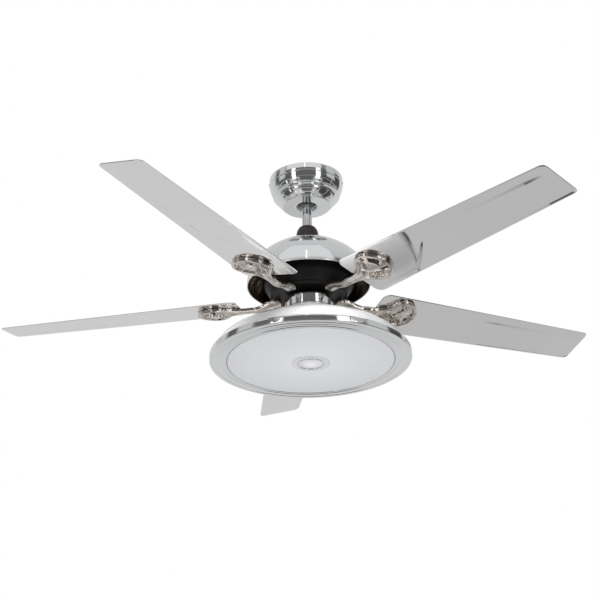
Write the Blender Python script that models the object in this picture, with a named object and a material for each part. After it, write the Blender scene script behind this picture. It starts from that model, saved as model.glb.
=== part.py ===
"""Ceiling fan with light: five blades, a ball-hung downrod and a round LED lamp.

Metres, +Z up. The origin is the centre of the ceiling bracket's top face, so the ceiling is the
plane z = 0 and the whole fan hangs below it. The fan's turning axis is Z.
"""

from math import asin, atan2, cos, pi, radians, sin, sqrt, tan

import bmesh
import bpy
from mathutils import Matrix, Vector

# Driving dimensions
SWEEP_RADIUS = 0.660
BLADE_COUNT = 5
FIRST_BLADE_AZIMUTH = radians(-46.0)
BLADE_PITCH = radians(12.25)
BLADE_Z = -0.2872
BLADE_THICKNESS = 0.0020
BLADE_ROOT = 0.146
ROOT_LEAD, ROOT_TRAIL = -0.0672, 0.0615
TIP_LEAD, TIP_TRAIL = -0.0596, 0.0386
CANOPY_RADIUS = 0.0784
CANOPY_DEPTH = 0.0663
CANOPY_HOLE = 0.0215
BALL_Z = -0.040
BALL_RADIUS = 0.026
ROD_RADIUS = 0.0105
ROD_BORE = 0.0085
ROD_TOP, ROD_END = -0.018, -0.1495
DOME_TOP = -0.1461
DOME_RIM_Z = -0.2535
DOME_RADIUS = 0.1284
ROTOR_RADIUS = 0.0945
ROTOR_SPLIT = -0.2292
ROTOR_BASE = -0.2780
SHAFT_RADIUS = 0.0085
BEARING_RADIUS = 0.0195
BEARING_WIDTH = 0.0120
UPPER_BEARING_TOP = -0.1850
LOWER_BEARING_TOP = -0.2567
LAMP_RADIUS = 0.2055
LAMP_RIM_TOP, LAMP_RIM_BASE = -0.4095, -0.4223
LENS_RADIUS = 0.1703
PAN_TOP = -0.3158
GAP = 0.0003
SHEET = 0.0010

# Segments round a turned piece: large and visible, middling, and small or hidden
FINE, MEDIUM, COARSE = 28, 20, 12


def clear_scene():
    for obj in list(bpy.data.objects):
        bpy.data.objects.remove(obj, do_unlink=True)


def principled(name, colour, roughness, metallic):
    made = bpy.data.materials.new(name)
    made.use_nodes = True
    shader = made.node_tree.nodes["Principled BSDF"]
    shader.inputs["Base Color"].default_value = (*colour, 1.0)
    shader.inputs["Roughness"].default_value = roughness
    shader.inputs["Metallic"].default_value = metallic
    made.diffuse_color = (*colour, 1.0)
    return made


def empty(name, location, parent=None):
    made = bpy.data.objects.new(name, None)
    made.empty_display_size = 0.05
    bpy.context.collection.objects.link(made)
    made.parent = parent
    made.location = location if parent is None else Vector(location) - world_place(parent)
    return made


def world_place(obj):
    place = Vector(obj.location)
    while obj.parent:
        obj = obj.parent
        place += Vector(obj.location)
    return place


def add_piece(name, bm, look, parent):
    """Makes one named object from bmesh geometry given in the fan's own frame."""
    bmesh.ops.recalc_face_normals(bm, faces=bm.faces)
    origin = world_place(parent)
    bmesh.ops.translate(bm, vec=-origin, verts=bm.verts)
    mesh = bpy.data.meshes.new(name)
    bm.to_mesh(mesh)
    bm.free()
    mesh.shade_smooth()
    mesh.set_sharp_from_angle(angle=radians(32))
    mesh.materials.append(look)
    made = bpy.data.objects.new(name, mesh)
    bpy.context.collection.objects.link(made)
    made.parent = parent
    return made


def spun(profile, steps, closed=True):
    """Turns a list of (radius, z) points about Z. An open profile starts and ends on the axis."""
    bm = bmesh.new()
    points = [bm.verts.new((radius, 0.0, z)) for radius, z in profile]
    pairs = list(zip(points, points[1:]))
    if closed:
        pairs.append((points[-1], points[0]))
    edges = [bm.edges.new(pair) for pair in pairs]
    bmesh.ops.spin(
        bm,
        geom=points + edges,
        cent=(0, 0, 0),
        axis=(0, 0, 1),
        dvec=(0, 0, 0),
        angle=2 * pi,
        steps=steps,
        use_merge=True,
    )
    bmesh.ops.remove_doubles(bm, verts=bm.verts, dist=1e-6)
    return bm


def turned(name, profile, steps, look, parent, closed=True):
    return add_piece(name, spun(profile, steps, closed), look, parent)


def thickened(outer, thickness):
    """Closes an outline that runs outwards and down, or down and inwards, into a thin shell."""
    inner = []
    last = len(outer) - 1
    for index, (radius, z) in enumerate(outer):
        before = outer[max(index - 1, 0)]
        after = outer[min(index + 1, last)]
        run, rise = after[0] - before[0], after[1] - before[1]
        length = sqrt(run * run + rise * rise)
        inner.append((radius + thickness * rise / length, z - thickness * run / length))
    return outer + inner[::-1]


def arc_points(centre, radius, start, end, count):
    """Points of a round stretch in the (radius, z) plane, angles from the radial direction."""
    step = (end - start) / (count - 1)
    angles = [start + step * index for index in range(count)]
    return [(centre[0] + radius * cos(a), centre[1] + radius * sin(a)) for a in angles]


def block(name, low, high, look, parent):
    bm = bmesh.new()
    bmesh.ops.create_cube(bm, size=1.0)
    size = Vector(high) - Vector(low)
    bmesh.ops.scale(bm, vec=size, verts=bm.verts)
    bmesh.ops.translate(bm, vec=(Vector(high) + Vector(low)) / 2, verts=bm.verts)
    return add_piece(name, bm, look, parent)


def rod_mesh(start, end, radius, steps):
    """A plain round bar between two points."""
    bm = bmesh.new()
    start, end = Vector(start), Vector(end)
    along = end - start
    turn = along.to_track_quat("Z", "Y").to_matrix().to_4x4()
    bmesh.ops.create_cone(
        bm,
        cap_ends=True,
        segments=steps,
        radius1=radius,
        radius2=radius,
        depth=along.length,
        matrix=Matrix.Translation((start + end) / 2) @ turn,
    )
    return bm


def cut(piece, name, bm):
    """Takes a closed shape out of a piece with a Boolean modifier."""
    cutter = add_piece(name, bm, piece.data.materials[0], piece.parent)
    cutter.hide_render = True
    cutter.display_type = "WIRE"
    modifier = piece.modifiers.new(name, "BOOLEAN")
    modifier.operation = "DIFFERENCE"
    modifier.object = cutter


def ease(value, start, end):
    """Goes smoothly from 0 at start to 1 at end."""
    part = min(max((value - start) / (end - start), 0.0), 1.0)
    return part * part * (3 - 2 * part)


# Ceiling side: bracket, canopy, their screws and the terminal block
BRACKET_SHEET = 0.0025
BRACKET_TAB_X = 0.0755
BRACKET_HALF_WIDTH = 0.021
TAB_HALF_WIDTH = 0.010
TAB_DEPTH = 0.016
STRAP_X = 0.0315
STRAP_SHEET = 0.0025
STRAP_HALF_WIDTH = 0.012
SEAT_RADIUS = 0.0292
SEAT_TOP, SEAT_BASE = -0.0490, -0.0600
SEAT_OUTER = 0.0345
BOLT_SLOT_X = 0.041
BOLT_SLOT_RADIUS = 0.0028
BOLT_SLOT_HALF_LENGTH = 0.0070
WIRE_HOLE_RADIUS = 0.0060
WIRE_HOLE_Y = 0.0125
CANOPY_SCREW_Z = -0.0100


def joined(parts):
    """Unions closed shapes into one, leaving no walls inside."""
    first, *others = parts
    base = bpy.data.meshes.new("joined")
    first.to_mesh(base)
    first.free()
    host = bpy.data.objects.new("joined", base)
    bpy.context.collection.objects.link(host)
    helpers = []
    for index, other in enumerate(others):
        mesh = bpy.data.meshes.new("joined_part")
        other.to_mesh(mesh)
        other.free()
        helper = bpy.data.objects.new("joined_part", mesh)
        bpy.context.collection.objects.link(helper)
        modifier = host.modifiers.new(f"union_{index}", "BOOLEAN")
        modifier.operation = "UNION"
        modifier.object = helper
        helpers.append(helper)
    bpy.context.view_layer.update()
    evaluated = host.evaluated_get(bpy.context.evaluated_depsgraph_get())
    result = bmesh.new()
    result.from_mesh(evaluated.to_mesh())
    evaluated.to_mesh_clear()
    for obj in [host, *helpers]:
        bpy.data.objects.remove(obj, do_unlink=True)
    return result


def box_mesh(low, high):
    bm = bmesh.new()
    bmesh.ops.create_cube(bm, size=1.0)
    bmesh.ops.scale(bm, vec=Vector(high) - Vector(low), verts=bm.verts)
    bmesh.ops.translate(bm, vec=(Vector(high) + Vector(low)) / 2, verts=bm.verts)
    return bm


def slot_mesh(x):
    """A round-ended slot cutter through the bracket's plate, long in X."""
    bm = bmesh.new()
    run = BOLT_SLOT_HALF_LENGTH - BOLT_SLOT_RADIUS
    outline = []
    for centre, start in ((x + run, -pi / 2), (x - run, pi / 2)):
        for index in range(7):
            angle = start + pi * index / 6
            outline.append((centre + BOLT_SLOT_RADIUS * cos(angle), BOLT_SLOT_RADIUS * sin(angle)))
    base = bm.faces.new([bm.verts.new((px, py, -BRACKET_SHEET * 2)) for px, py in outline])
    raised = bmesh.ops.extrude_face_region(bm, geom=[base])["geom"]
    verts = [item for item in raised if isinstance(item, bmesh.types.BMVert)]
    bmesh.ops.translate(bm, vec=(0, 0, BRACKET_SHEET * 3), verts=verts)
    bmesh.ops.recalc_face_normals(bm, faces=bm.faces)
    return bm


def seat_profile():
    """Section of the socket ring: a spherical seat inside, straight outside."""
    reach = SEAT_RADIUS
    start = asin((BALL_Z - SEAT_TOP) / reach)
    end = asin((BALL_Z - SEAT_BASE) / reach)
    angles = [start + (end - start) * index / 4 for index in range(5)]
    seat = [(reach * cos(a), BALL_Z - reach * sin(a)) for a in angles]
    return seat + [(SEAT_OUTER, SEAT_BASE), (SEAT_OUTER, SEAT_TOP)]


def make_bracket(look, parent):
    """Pressed steel hanger: top plate, canopy tabs, two straps and the ball's socket ring."""
    edge = BRACKET_TAB_X
    parts = [
        box_mesh((-0.055, -BRACKET_HALF_WIDTH, -BRACKET_SHEET), (0.055, BRACKET_HALF_WIDTH, 0)),
        box_mesh((-edge, -TAB_HALF_WIDTH, -BRACKET_SHEET), (edge, TAB_HALF_WIDTH, 0)),
        spun(seat_profile(), MEDIUM),
    ]
    for side in (-1, 1):
        near, far = sorted((side * (edge - BRACKET_SHEET), side * edge))
        parts.append(box_mesh((near, -TAB_HALF_WIDTH, -TAB_DEPTH), (far, TAB_HALF_WIDTH, -0.001)))
        near, far = sorted((side * STRAP_X, side * (STRAP_X + STRAP_SHEET)))
        low = (near, -STRAP_HALF_WIDTH, SEAT_BASE + 0.002)
        parts.append(box_mesh(low, (far, STRAP_HALF_WIDTH, -0.001)))
    bracket = add_piece("ceiling_bracket", joined(parts), look, parent)
    cut(bracket, "bolt_slot_cutter_left", slot_mesh(-BOLT_SLOT_X))
    cut(bracket, "bolt_slot_cutter_right", slot_mesh(BOLT_SLOT_X))
    wire_hole = rod_mesh((0, WIRE_HOLE_Y, -0.01), (0, WIRE_HOLE_Y, 0.01), WIRE_HOLE_RADIUS, COARSE)
    cut(bracket, "wire_hole_cutter", wire_hole)


def canopy_outline():
    """Outer face from the ceiling down to the hole: band, fillet, bead and curved bowl."""
    band = [(CANOPY_RADIUS, -0.0010), (CANOPY_RADIUS, -0.0185)]
    top, bottom_radius, power = -0.0123, 0.0450, 1.4
    wide = CANOPY_RADIUS - 0.0007

    def bowl(z):
        part = (top - z) / (top + CANOPY_DEPTH)
        return bottom_radius + (wide - bottom_radius) * (1 - part**power) ** (1 / power)

    upper = [(bowl(z), z) for z in (-0.0202, -0.0310, -0.0435)]
    lower = [(bowl(z) - 0.0006, z) for z in (-0.0455, -0.0550, -0.0625)]
    base = [(bottom_radius, -CANOPY_DEPTH), (CANOPY_HOLE + 0.001, -CANOPY_DEPTH)]
    return band + upper + lower + base


def make_canopy(look, parent):
    outline = canopy_outline()
    canopy = turned("canopy", thickened(outline, SHEET), FINE, look, parent)
    for side in (-1, 1):
        start = (side * 0.070, 0, CANOPY_SCREW_Z)
        end = (side * 0.090, 0, CANOPY_SCREW_Z)
        cut(canopy, f"canopy_screw_hole_{side + 2}", rod_mesh(start, end, 0.0024, 12))


def make_canopy_screws(look, parent):
    """Two thin-headed screws hold the canopy's band to the bracket's tabs."""
    for number, side in enumerate((-1, 1), 1):
        profile = [(0.0, 0.0), (0.0020, 0.0), (0.0020, 0.0030), (0.0036, 0.0030)]
        profile += [(0.0032, 0.0035), (0.0, 0.0038)]
        bm = spun(profile, 10, closed=False)
        turn = Matrix.Rotation(side * pi / 2, 4, "Y")
        inner_end = side * (BRACKET_TAB_X + GAP)
        place = Matrix.Translation((inner_end, 0, CANOPY_SCREW_Z))
        bmesh.ops.transform(bm, matrix=place @ turn, verts=bm.verts)
        add_piece(f"canopy_screw_{number}", bm, look, parent)


# Ball, liner, rod and yoke
LINER_INNER = BALL_RADIUS + 2 * GAP
LINER_OUTER = SEAT_RADIUS - 2 * GAP
LINER_START, LINER_END = radians(48), radians(69)
PIN_Z = -0.0330
PIN_RADIUS = 0.0030
PIN_HALF_LENGTH = 0.0215
YOKE_RADIUS = 0.0155
YOKE_TOP = -0.1225
SPIGOT_RADIUS = 0.0120
SPIGOT_END = -0.1580
YOKE_PIN_Z = -0.1340
YOKE_PIN_RADIUS = 0.0028
YOKE_COVER_RADIUS = 0.0250
YOKE_COVER_TOP = -0.1160
SHAFT_END = -0.3000


def make_liner(look, parent):
    """Nylon ring between the ball and its seat: a zone of a sphere round the ball's centre."""
    def zone(radius, angles):
        return [(radius * sin(a), BALL_Z - radius * cos(a)) for a in angles]

    angles = [LINER_START + (LINER_END - LINER_START) * index / 4 for index in range(5)]
    profile = zone(LINER_OUTER, angles) + zone(LINER_INNER, angles[::-1])
    turned("socket_liner", profile, MEDIUM, look, parent)


def make_ball(look, parent):
    bore = ROD_RADIUS + GAP
    tilt = atan2(sqrt(BALL_RADIUS**2 - bore**2), bore)
    profile = arc_points((0, BALL_Z), BALL_RADIUS, -tilt, tilt, 9)
    ball = turned("hanger_ball", profile, MEDIUM, look, parent)
    hole = rod_mesh((0, -0.04, PIN_Z), (0, 0.04, PIN_Z), PIN_RADIUS + GAP, 12)
    cut(ball, "ball_pin_hole", hole)


def make_downrod(look, parent):
    profile = [(ROD_RADIUS, ROD_TOP), (ROD_RADIUS, ROD_END), (ROD_BORE, ROD_END), (ROD_BORE, ROD_TOP)]
    rod = turned("downrod", profile, MEDIUM, look, parent)
    hole = rod_mesh((0, -0.03, PIN_Z), (0, 0.03, PIN_Z), PIN_RADIUS + GAP, 12)
    cut(rod, "rod_pin_hole", hole)
    reach = YOKE_RADIUS * 2
    hole = rod_mesh((-reach, 0, YOKE_PIN_Z), (reach, 0, YOKE_PIN_Z), YOKE_PIN_RADIUS + GAP, 12)
    cut(rod, "rod_yoke_pin_hole", hole)


def make_pins(look, parent):
    """The cross pin that hangs the rod from its ball, and the one that hangs the yoke on the rod."""
    start, end = (0, -PIN_HALF_LENGTH, PIN_Z), (0, PIN_HALF_LENGTH, PIN_Z)
    add_piece("hanger_pin", rod_mesh(start, end, PIN_RADIUS, 12), look, parent)
    start, end = (-0.0185, 0, YOKE_PIN_Z), (0.0185, 0, YOKE_PIN_Z)
    add_piece("yoke_pin", rod_mesh(start, end, YOKE_PIN_RADIUS, 12), look, parent)


def make_yoke(look, parent):
    """Collar on the rod's lower end, with a threaded spigot through the dome to the shaft."""
    rod_fit, shaft_fit = ROD_RADIUS + GAP, SHAFT_RADIUS + GAP
    floor = ROD_END - GAP
    profile = [
        (rod_fit, YOKE_TOP),
        (YOKE_RADIUS, YOKE_TOP),
        (YOKE_RADIUS, DOME_TOP + GAP),
        (SPIGOT_RADIUS, DOME_TOP + GAP),
        (SPIGOT_RADIUS, SPIGOT_END),
        (shaft_fit, SPIGOT_END),
        (shaft_fit, floor),
        (rod_fit, floor),
    ]
    yoke = turned("motor_yoke", profile, MEDIUM, look, parent)
    reach = YOKE_RADIUS * 2
    hole = rod_mesh((-reach, 0, YOKE_PIN_Z), (reach, 0, YOKE_PIN_Z), YOKE_PIN_RADIUS + GAP, 12)
    cut(yoke, "yoke_pin_hole", hole)


def make_yoke_cover(look, parent):
    """Small dark bell that slides up the rod and hides the yoke."""
    top_radius = ROD_RADIUS + 0.0006
    base = DOME_TOP + GAP
    side = YOKE_COVER_RADIUS - 0.0012
    height = YOKE_COVER_TOP - base - 0.007
    outline = [(top_radius, YOKE_COVER_TOP)]
    for index in range(1, 6):
        angle = pi / 2 * (1 - index / 5)
        reach = top_radius + (side - top_radius) * cos(angle) ** 0.9
        outline.append((reach, YOKE_COVER_TOP - height + height * sin(angle)))
    outline.append((YOKE_COVER_RADIUS, base))
    turned("yoke_cover", thickened(outline, SHEET), MEDIUM, look, parent)


# Motor: dome, shaft, bearings, stator and rotor
CAGE_INNER, CAGE_OUTER = 0.0785, 0.0905
CAGE_TOP, CAGE_BASE = -0.2130, -0.2450
STATOR_RADIUS = 0.0772
STATOR_TOP, STATOR_BASE = -0.2150, -0.2430
STATOR_TEETH = 12
COLLAR_RADIUS = 0.0380
COLLAR_TOP, COLLAR_BASE = -0.2722, -0.2776


def dome_outline():
    """Outer face of the dome: a flat seat round the spigot, then one rounded cone to the rim."""
    seat = 0.024
    height = DOME_TOP - DOME_RIM_Z
    power = 0.4054
    points = [(SPIGOT_RADIUS + GAP, DOME_TOP)]
    for index in range(10):
        part = sin(pi / 2 * index / 9)
        z = DOME_RIM_Z + height * (1 - part) ** power
        points.append((seat + (DOME_RADIUS - seat) * part, z))
    return points


def make_dome(look, parent):
    turned("motor_dome", thickened(dome_outline(), SHEET), FINE, look, parent)
    nut_top = DOME_TOP - SHEET - GAP
    inner, outer = SPIGOT_RADIUS + GAP, 0.0180
    profile = [(inner, nut_top), (outer, nut_top), (outer, nut_top - 0.006), (inner, nut_top - 0.006)]
    turned("dome_locknut", profile, MEDIUM, look, parent)


def make_shaft(look, parent):
    bore = 0.0055
    top = ROD_END - GAP
    profile = [(SHAFT_RADIUS, top), (SHAFT_RADIUS, SHAFT_END), (bore, SHAFT_END), (bore, top)]
    turned("motor_shaft", profile, COARSE, look, parent)


def make_bearings(look, parent):
    for name, top in (("upper_bearing", UPPER_BEARING_TOP), ("lower_bearing", LOWER_BEARING_TOP)):
        inner, outer, base = SHAFT_RADIUS + GAP, BEARING_RADIUS, top - BEARING_WIDTH
        groove = 0.0008
        profile = [(inner, top), (0.0115, top), (0.0120, top - groove), (0.0160, top - groove)]
        profile += [(0.0165, top), (outer, top), (outer, base), (0.0165, base)]
        profile += [(0.0160, base + groove), (0.0120, base + groove), (0.0115, base), (inner, base)]
        turned(name, profile, COARSE, look, parent)


def make_stator(core_look, coil_look, parent):
    """Laminated core with toothed rim, and a coil ring above and below its web."""
    web_top, web_base, hub = -0.2240, -0.2340, 0.0200
    inner, rim = SHAFT_RADIUS + GAP, 0.0700
    profile = [
        (inner, STATOR_TOP),
        (hub, STATOR_TOP),
        (hub, web_top),
        (rim, web_top),
        (rim, STATOR_TOP),
        (STATOR_RADIUS, STATOR_TOP),
        (STATOR_RADIUS, STATOR_BASE),
        (rim, STATOR_BASE),
        (rim, web_base),
        (hub, web_base),
        (hub, STATOR_BASE),
        (inner, STATOR_BASE),
    ]
    core = turned("stator_core", profile, STATOR_TEETH * 2, core_look, parent)
    slots = []
    for index in range(STATOR_TEETH):
        turn = Matrix.Rotation(2 * pi * (index + 0.5) / STATOR_TEETH, 4, "Z")
        bm = box_mesh((0.0735, -0.0012, STATOR_BASE - 0.002), (0.0800, 0.0012, STATOR_TOP + 0.002))
        bmesh.ops.transform(bm, matrix=turn, verts=bm.verts)
        slots.append(bm)
    merged = bmesh.new()
    for bm in slots:
        mesh = bpy.data.meshes.new("slot")
        bm.to_mesh(mesh)
        bm.free()
        merged.from_mesh(mesh)
        bpy.data.meshes.remove(mesh)
    cut(core, "stator_slot_cutters", merged)
    for name, low, high in (
        ("winding_upper", web_top + GAP, -0.2105),
        ("winding_lower", -0.2475, web_base - GAP),
    ):
        bevel = 0.003
        inner, outer = hub + 0.004, rim - 0.003
        profile = [(inner, low + bevel), (inner + bevel, low), (outer - bevel, low), (outer, low + bevel)]
        profile += [(outer, high - bevel), (outer - bevel, high), (inner + bevel, high)]
        profile += [(inner, high - bevel)]
        turned(name, profile, MEDIUM, coil_look, parent)


def make_rotor_covers(look, parent):
    """Cast top and bottom halves of the turning motor case, each with its bearing's seat."""
    seat = BEARING_RADIUS + GAP
    top = [
        (0.0120, -0.1810),
        (0.0260, -0.1810),
        (0.0300, -0.1860),
        (0.0750, -0.1930),
        (0.0880, -0.2000),
        (ROTOR_RADIUS, -0.2100),
        (ROTOR_RADIUS, ROTOR_SPLIT + GAP),
        (ROTOR_RADIUS - 0.003, ROTOR_SPLIT + GAP),
        (ROTOR_RADIUS - 0.003, -0.2112),
        (0.0860, -0.2032),
        (0.0740, -0.1962),
        (0.0300, -0.1898),
        (0.0240, -0.1990),
        (seat, -0.1990),
        (seat, UPPER_BEARING_TOP + GAP),
        (0.0120, UPPER_BEARING_TOP + GAP),
    ]
    turned("rotor_top_cover", top, FINE, look, parent)
    floor = LOWER_BEARING_TOP - BEARING_WIDTH - GAP
    bottom = [
        (ROTOR_RADIUS, ROTOR_SPLIT - GAP),
        (ROTOR_RADIUS, -0.2530),
        (0.0920, -0.2575),
        (0.0800, -0.2755),
        (0.0755, ROTOR_BASE),
        (0.0410, ROTOR_BASE),
        (0.0410, -0.2715),
        (0.0120, -0.2715),
        (0.0120, floor),
        (seat, floor),
        (seat, -0.2555),
        (0.0238, -0.2555),
        (0.0238, -0.2680),
        (0.0445, -0.2680),
        (0.0445, -0.2750),
        (0.0740, -0.2750),
        (0.0775, -0.2733),
        (0.0892, -0.2560),
        (ROTOR_RADIUS - 0.003, -0.2520),
        (ROTOR_RADIUS - 0.003, ROTOR_SPLIT - GAP),
    ]
    turned("rotor_bottom_cover", bottom, FINE, look, parent)


def make_cage(look, parent):
    profile = [(CAGE_OUTER, CAGE_TOP), (CAGE_OUTER, CAGE_BASE)]
    profile += [(CAGE_INNER, CAGE_BASE), (CAGE_INNER, CAGE_TOP)]
    turned("rotor_cage_ring", profile, FINE, look, parent)


# Blades and their arms. u runs out from the fan's axis, v across towards the trailing edge,
# and w up from the blade's mid plane.
ARM_THICKNESS = 0.0055
ARM_PLACES = (
    # u, v of the leading side, v of the trailing side
    (0.0600, -0.0130, 0.0020),
    (0.0630, -0.0165, 0.0055),
    (0.0700, -0.0185, 0.0070),
    (0.0850, -0.0190, 0.0050),
    (0.1000, -0.0190, 0.0010),
    (0.1200, -0.0195, 0.0000),
    (0.1400, -0.0200, 0.0010),
    (0.1550, -0.0225, 0.0040),
    (0.1680, -0.0300, 0.0100),
    (0.1780, -0.0440, 0.0180),
    (0.1880, -0.0560, 0.0240),
    (0.2000, -0.0605, 0.0265),
    (0.2120, -0.0585, 0.0240),
    (0.2230, -0.0515, 0.0185),
    (0.2320, -0.0400, 0.0090),
    (0.2375, -0.0270, -0.0020),
    (0.2400, -0.0190, -0.0100),
)
SCREW_PLACES = ((0.1850, 0.0100), (0.1950, -0.0450), (0.2250, -0.0150))
SCREW_SHANK = 0.0020
SCREW_HEAD = 0.0042


def blade_frame(number):
    """The azimuth of one blade's middle line."""
    return Matrix.Rotation(FIRST_BLADE_AZIMUTH - 2 * pi * number / BLADE_COUNT, 4, "Z")


def pitched(pitch, z):
    """Takes (u, v, w) to the fan's frame for a surface pitched about its radial line."""
    return Matrix.Translation((0, 0, z)) @ Matrix.Rotation(-pitch, 4, "X")


def rounded_corner(corner, before, after, radius, count):
    """Points of the arc that rounds a corner of a flat outline."""
    corner = Vector(corner)
    first = (Vector(before) - corner).normalized()
    second = (Vector(after) - corner).normalized()
    half = first.angle(second) / 2
    middle = corner + (first + second).normalized() * radius / sin(half)
    start = corner + first * radius / tan(half) - middle
    end = corner + second * radius / tan(half) - middle
    return [middle + radius * start.slerp(end, index / (count - 1)) for index in range(count)]


def blade_outline():
    tip_lead_u = SWEEP_RADIUS - 0.003
    corners = [
        ((BLADE_ROOT, ROOT_LEAD), 0.016),
        ((tip_lead_u, TIP_LEAD), 0.011),
        ((SWEEP_RADIUS - 0.0005, TIP_TRAIL), 0.010),
        ((BLADE_ROOT, ROOT_TRAIL), 0.016),
    ]
    outline = []
    for index, (corner, radius) in enumerate(corners):
        before = corners[index - 1][0]
        after = corners[(index + 1) % len(corners)][0]
        outline += rounded_corner(corner, before, after, radius, 7)
    return outline


def blade_mesh():
    bm = bmesh.new()
    half = BLADE_THICKNESS / 2
    base = bm.faces.new([bm.verts.new((point.x, point.y, -half)) for point in blade_outline()])
    raised = bmesh.ops.extrude_face_region(bm, geom=[base])["geom"]
    verts = [item for item in raised if isinstance(item, bmesh.types.BMVert)]
    bmesh.ops.translate(bm, vec=(0, 0, BLADE_THICKNESS), verts=verts)
    bmesh.ops.transform(bm, matrix=pitched(BLADE_PITCH, BLADE_Z), verts=bm.verts)
    return bm


def arm_point(u, v, w):
    """A point of the arm: flat under the motor, and bent and twisted to the blade's pitch."""
    foot_middle = ROTOR_BASE - GAP - ARM_THICKNESS / 2
    paddle_depth = BLADE_THICKNESS / 2 + GAP + ARM_THICKNESS / 2
    drop = ease(u, 0.0760, 0.1180)
    twist = ease(u, 0.0840, 0.1430)
    z = foot_middle + (BLADE_Z - foot_middle) * drop
    return pitched(BLADE_PITCH * twist, z) @ Vector((u, v, w - paddle_depth * drop))


def arm_mesh():
    """Foot, neck and round paddle in one casting, lofted over stations along its length."""
    bm = bmesh.new()
    across = 4
    half = ARM_THICKNESS / 2
    upper, lower = [], []
    for u, lead, trail in ARM_PLACES:
        places = [lead + (trail - lead) * index / (across - 1) for index in range(across)]
        upper.append([bm.verts.new(arm_point(u, v, half)) for v in places])
        lower.append([bm.verts.new(arm_point(u, v, -half)) for v in places])
    for rows in (upper, lower):
        for near, far in zip(rows, rows[1:]):
            for index in range(across - 1):
                bm.faces.new((near[index], near[index + 1], far[index + 1], far[index]))
    for side in (0, across - 1):
        for index in range(len(upper) - 1):
            here, there = index, index + 1
            bm.faces.new((upper[here][side], upper[there][side], lower[there][side], lower[here][side]))
    for row in (0, len(upper) - 1):
        for index in range(across - 1):
            ring = (upper[row][index], upper[row][index + 1], lower[row][index + 1], lower[row][index])
            bm.faces.new(ring)
    return bm


def screw_mesh(u, v):
    """One blade screw: round head below the paddle, shank up through the blade."""
    head_top = -(BLADE_THICKNESS / 2 + GAP + ARM_THICKNESS + GAP)
    shank_top = BLADE_THICKNESS / 2 + 0.002
    profile = [
        (0.0, shank_top),
        (SCREW_SHANK, shank_top),
        (SCREW_SHANK, head_top),
        (SCREW_HEAD, head_top),
        (SCREW_HEAD * 0.8, head_top - 0.0018),
        (0.0, head_top - 0.0025),
    ]
    bm = spun(profile, 8, closed=False)
    place = pitched(BLADE_PITCH, BLADE_Z) @ Matrix.Translation((u, v, 0))
    bmesh.ops.transform(bm, matrix=place, verts=bm.verts)
    return bm


def screw_hole_cutters(number):
    """The three screws' clearance holes for one blade, as one set of separate bars."""
    merged = bmesh.new()
    for u, v in SCREW_PLACES:
        bm = rod_mesh((0, 0, -0.020), (0, 0, 0.010), SCREW_SHANK + GAP, 8)
        place = blade_frame(number) @ pitched(BLADE_PITCH, BLADE_Z) @ Matrix.Translation((u, v, 0))
        bmesh.ops.transform(bm, matrix=place, verts=bm.verts)
        mesh = bpy.data.meshes.new("hole")
        bm.to_mesh(mesh)
        bm.free()
        merged.from_mesh(mesh)
        bpy.data.meshes.remove(mesh)
    return merged


def make_blades(blade_look, arm_look, screw_look, parent):
    for number in range(BLADE_COUNT):
        frame = blade_frame(number)
        for name, bm, look in (
            (f"blade_{number + 1}", blade_mesh(), blade_look),
            (f"blade_arm_{number + 1}", arm_mesh(), arm_look),
        ):
            bmesh.ops.transform(bm, matrix=frame, verts=bm.verts)
            piece = add_piece(name, bm, look, parent)
            cut(piece, f"{name}_hole_cutter", screw_hole_cutters(number))
        for index, (u, v) in enumerate(SCREW_PLACES, 1):
            bm = screw_mesh(u, v)
            bmesh.ops.transform(bm, matrix=frame, verts=bm.verts)
            add_piece(f"blade_screw_{number + 1}_{index}", bm, screw_look, parent)


# Lamp
BELL_TOP_RADIUS, BELL_WALL_RADIUS, BELL_FLANGE_RADIUS = 0.0290, 0.0505, 0.0545
BELL_WALL_TOP, BELL_WALL_BASE = -0.2885, -0.3112
PAN_SEAT_RADIUS = 0.0565
STEM_RADIUS = 0.0130
STEM_FLANGE = 0.0340
STUD_RADIUS = 0.0030
TRAY_Z = -0.3960
PLATE_TOP = PAN_TOP - SHEET - GAP
PLATE_RADIUS = 0.0500
RIM_SHEET = 0.0012
LENS_FLANGE_TOP, LENS_FLANGE_BASE = -0.4185, -0.4208


def make_neck(look, black_look, steel_look, parent):
    """Fixed black collar under the motor, chrome cup below it, and the stem inside the cup."""
    inner = SHAFT_RADIUS + GAP
    profile = [(inner, COLLAR_TOP), (0.0340, COLLAR_TOP), (COLLAR_RADIUS, COLLAR_TOP - 0.002)]
    profile += [(COLLAR_RADIUS, COLLAR_BASE), (inner, COLLAR_BASE)]
    turned("neck_collar", profile, MEDIUM, black_look, parent)
    bell_top = COLLAR_BASE - GAP
    outline = [
        (inner, bell_top),
        (BELL_TOP_RADIUS, bell_top),
        (BELL_WALL_RADIUS - 0.0055, BELL_WALL_TOP + 0.0050),
        (BELL_WALL_RADIUS, BELL_WALL_TOP),
        (BELL_WALL_RADIUS, BELL_WALL_BASE),
        (BELL_FLANGE_RADIUS, BELL_WALL_BASE - 0.0012),
        (BELL_FLANGE_RADIUS, PAN_TOP + GAP),
    ]
    turned("neck_cover", thickened(outline, SHEET), FINE, look, parent)
    top = bell_top - SHEET - GAP
    flange_top = PAN_TOP + 0.004
    profile = [
        (inner, top),
        (STEM_RADIUS, top),
        (STEM_RADIUS, flange_top),
        (STEM_FLANGE, flange_top),
        (STEM_FLANGE, PAN_TOP + GAP),
        (0.0065, PAN_TOP + GAP),
        (0.0065, SHAFT_END - 0.001),
        (inner, SHAFT_END - 0.001),
    ]
    turned("light_stem", profile, MEDIUM, steel_look, parent)


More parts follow.
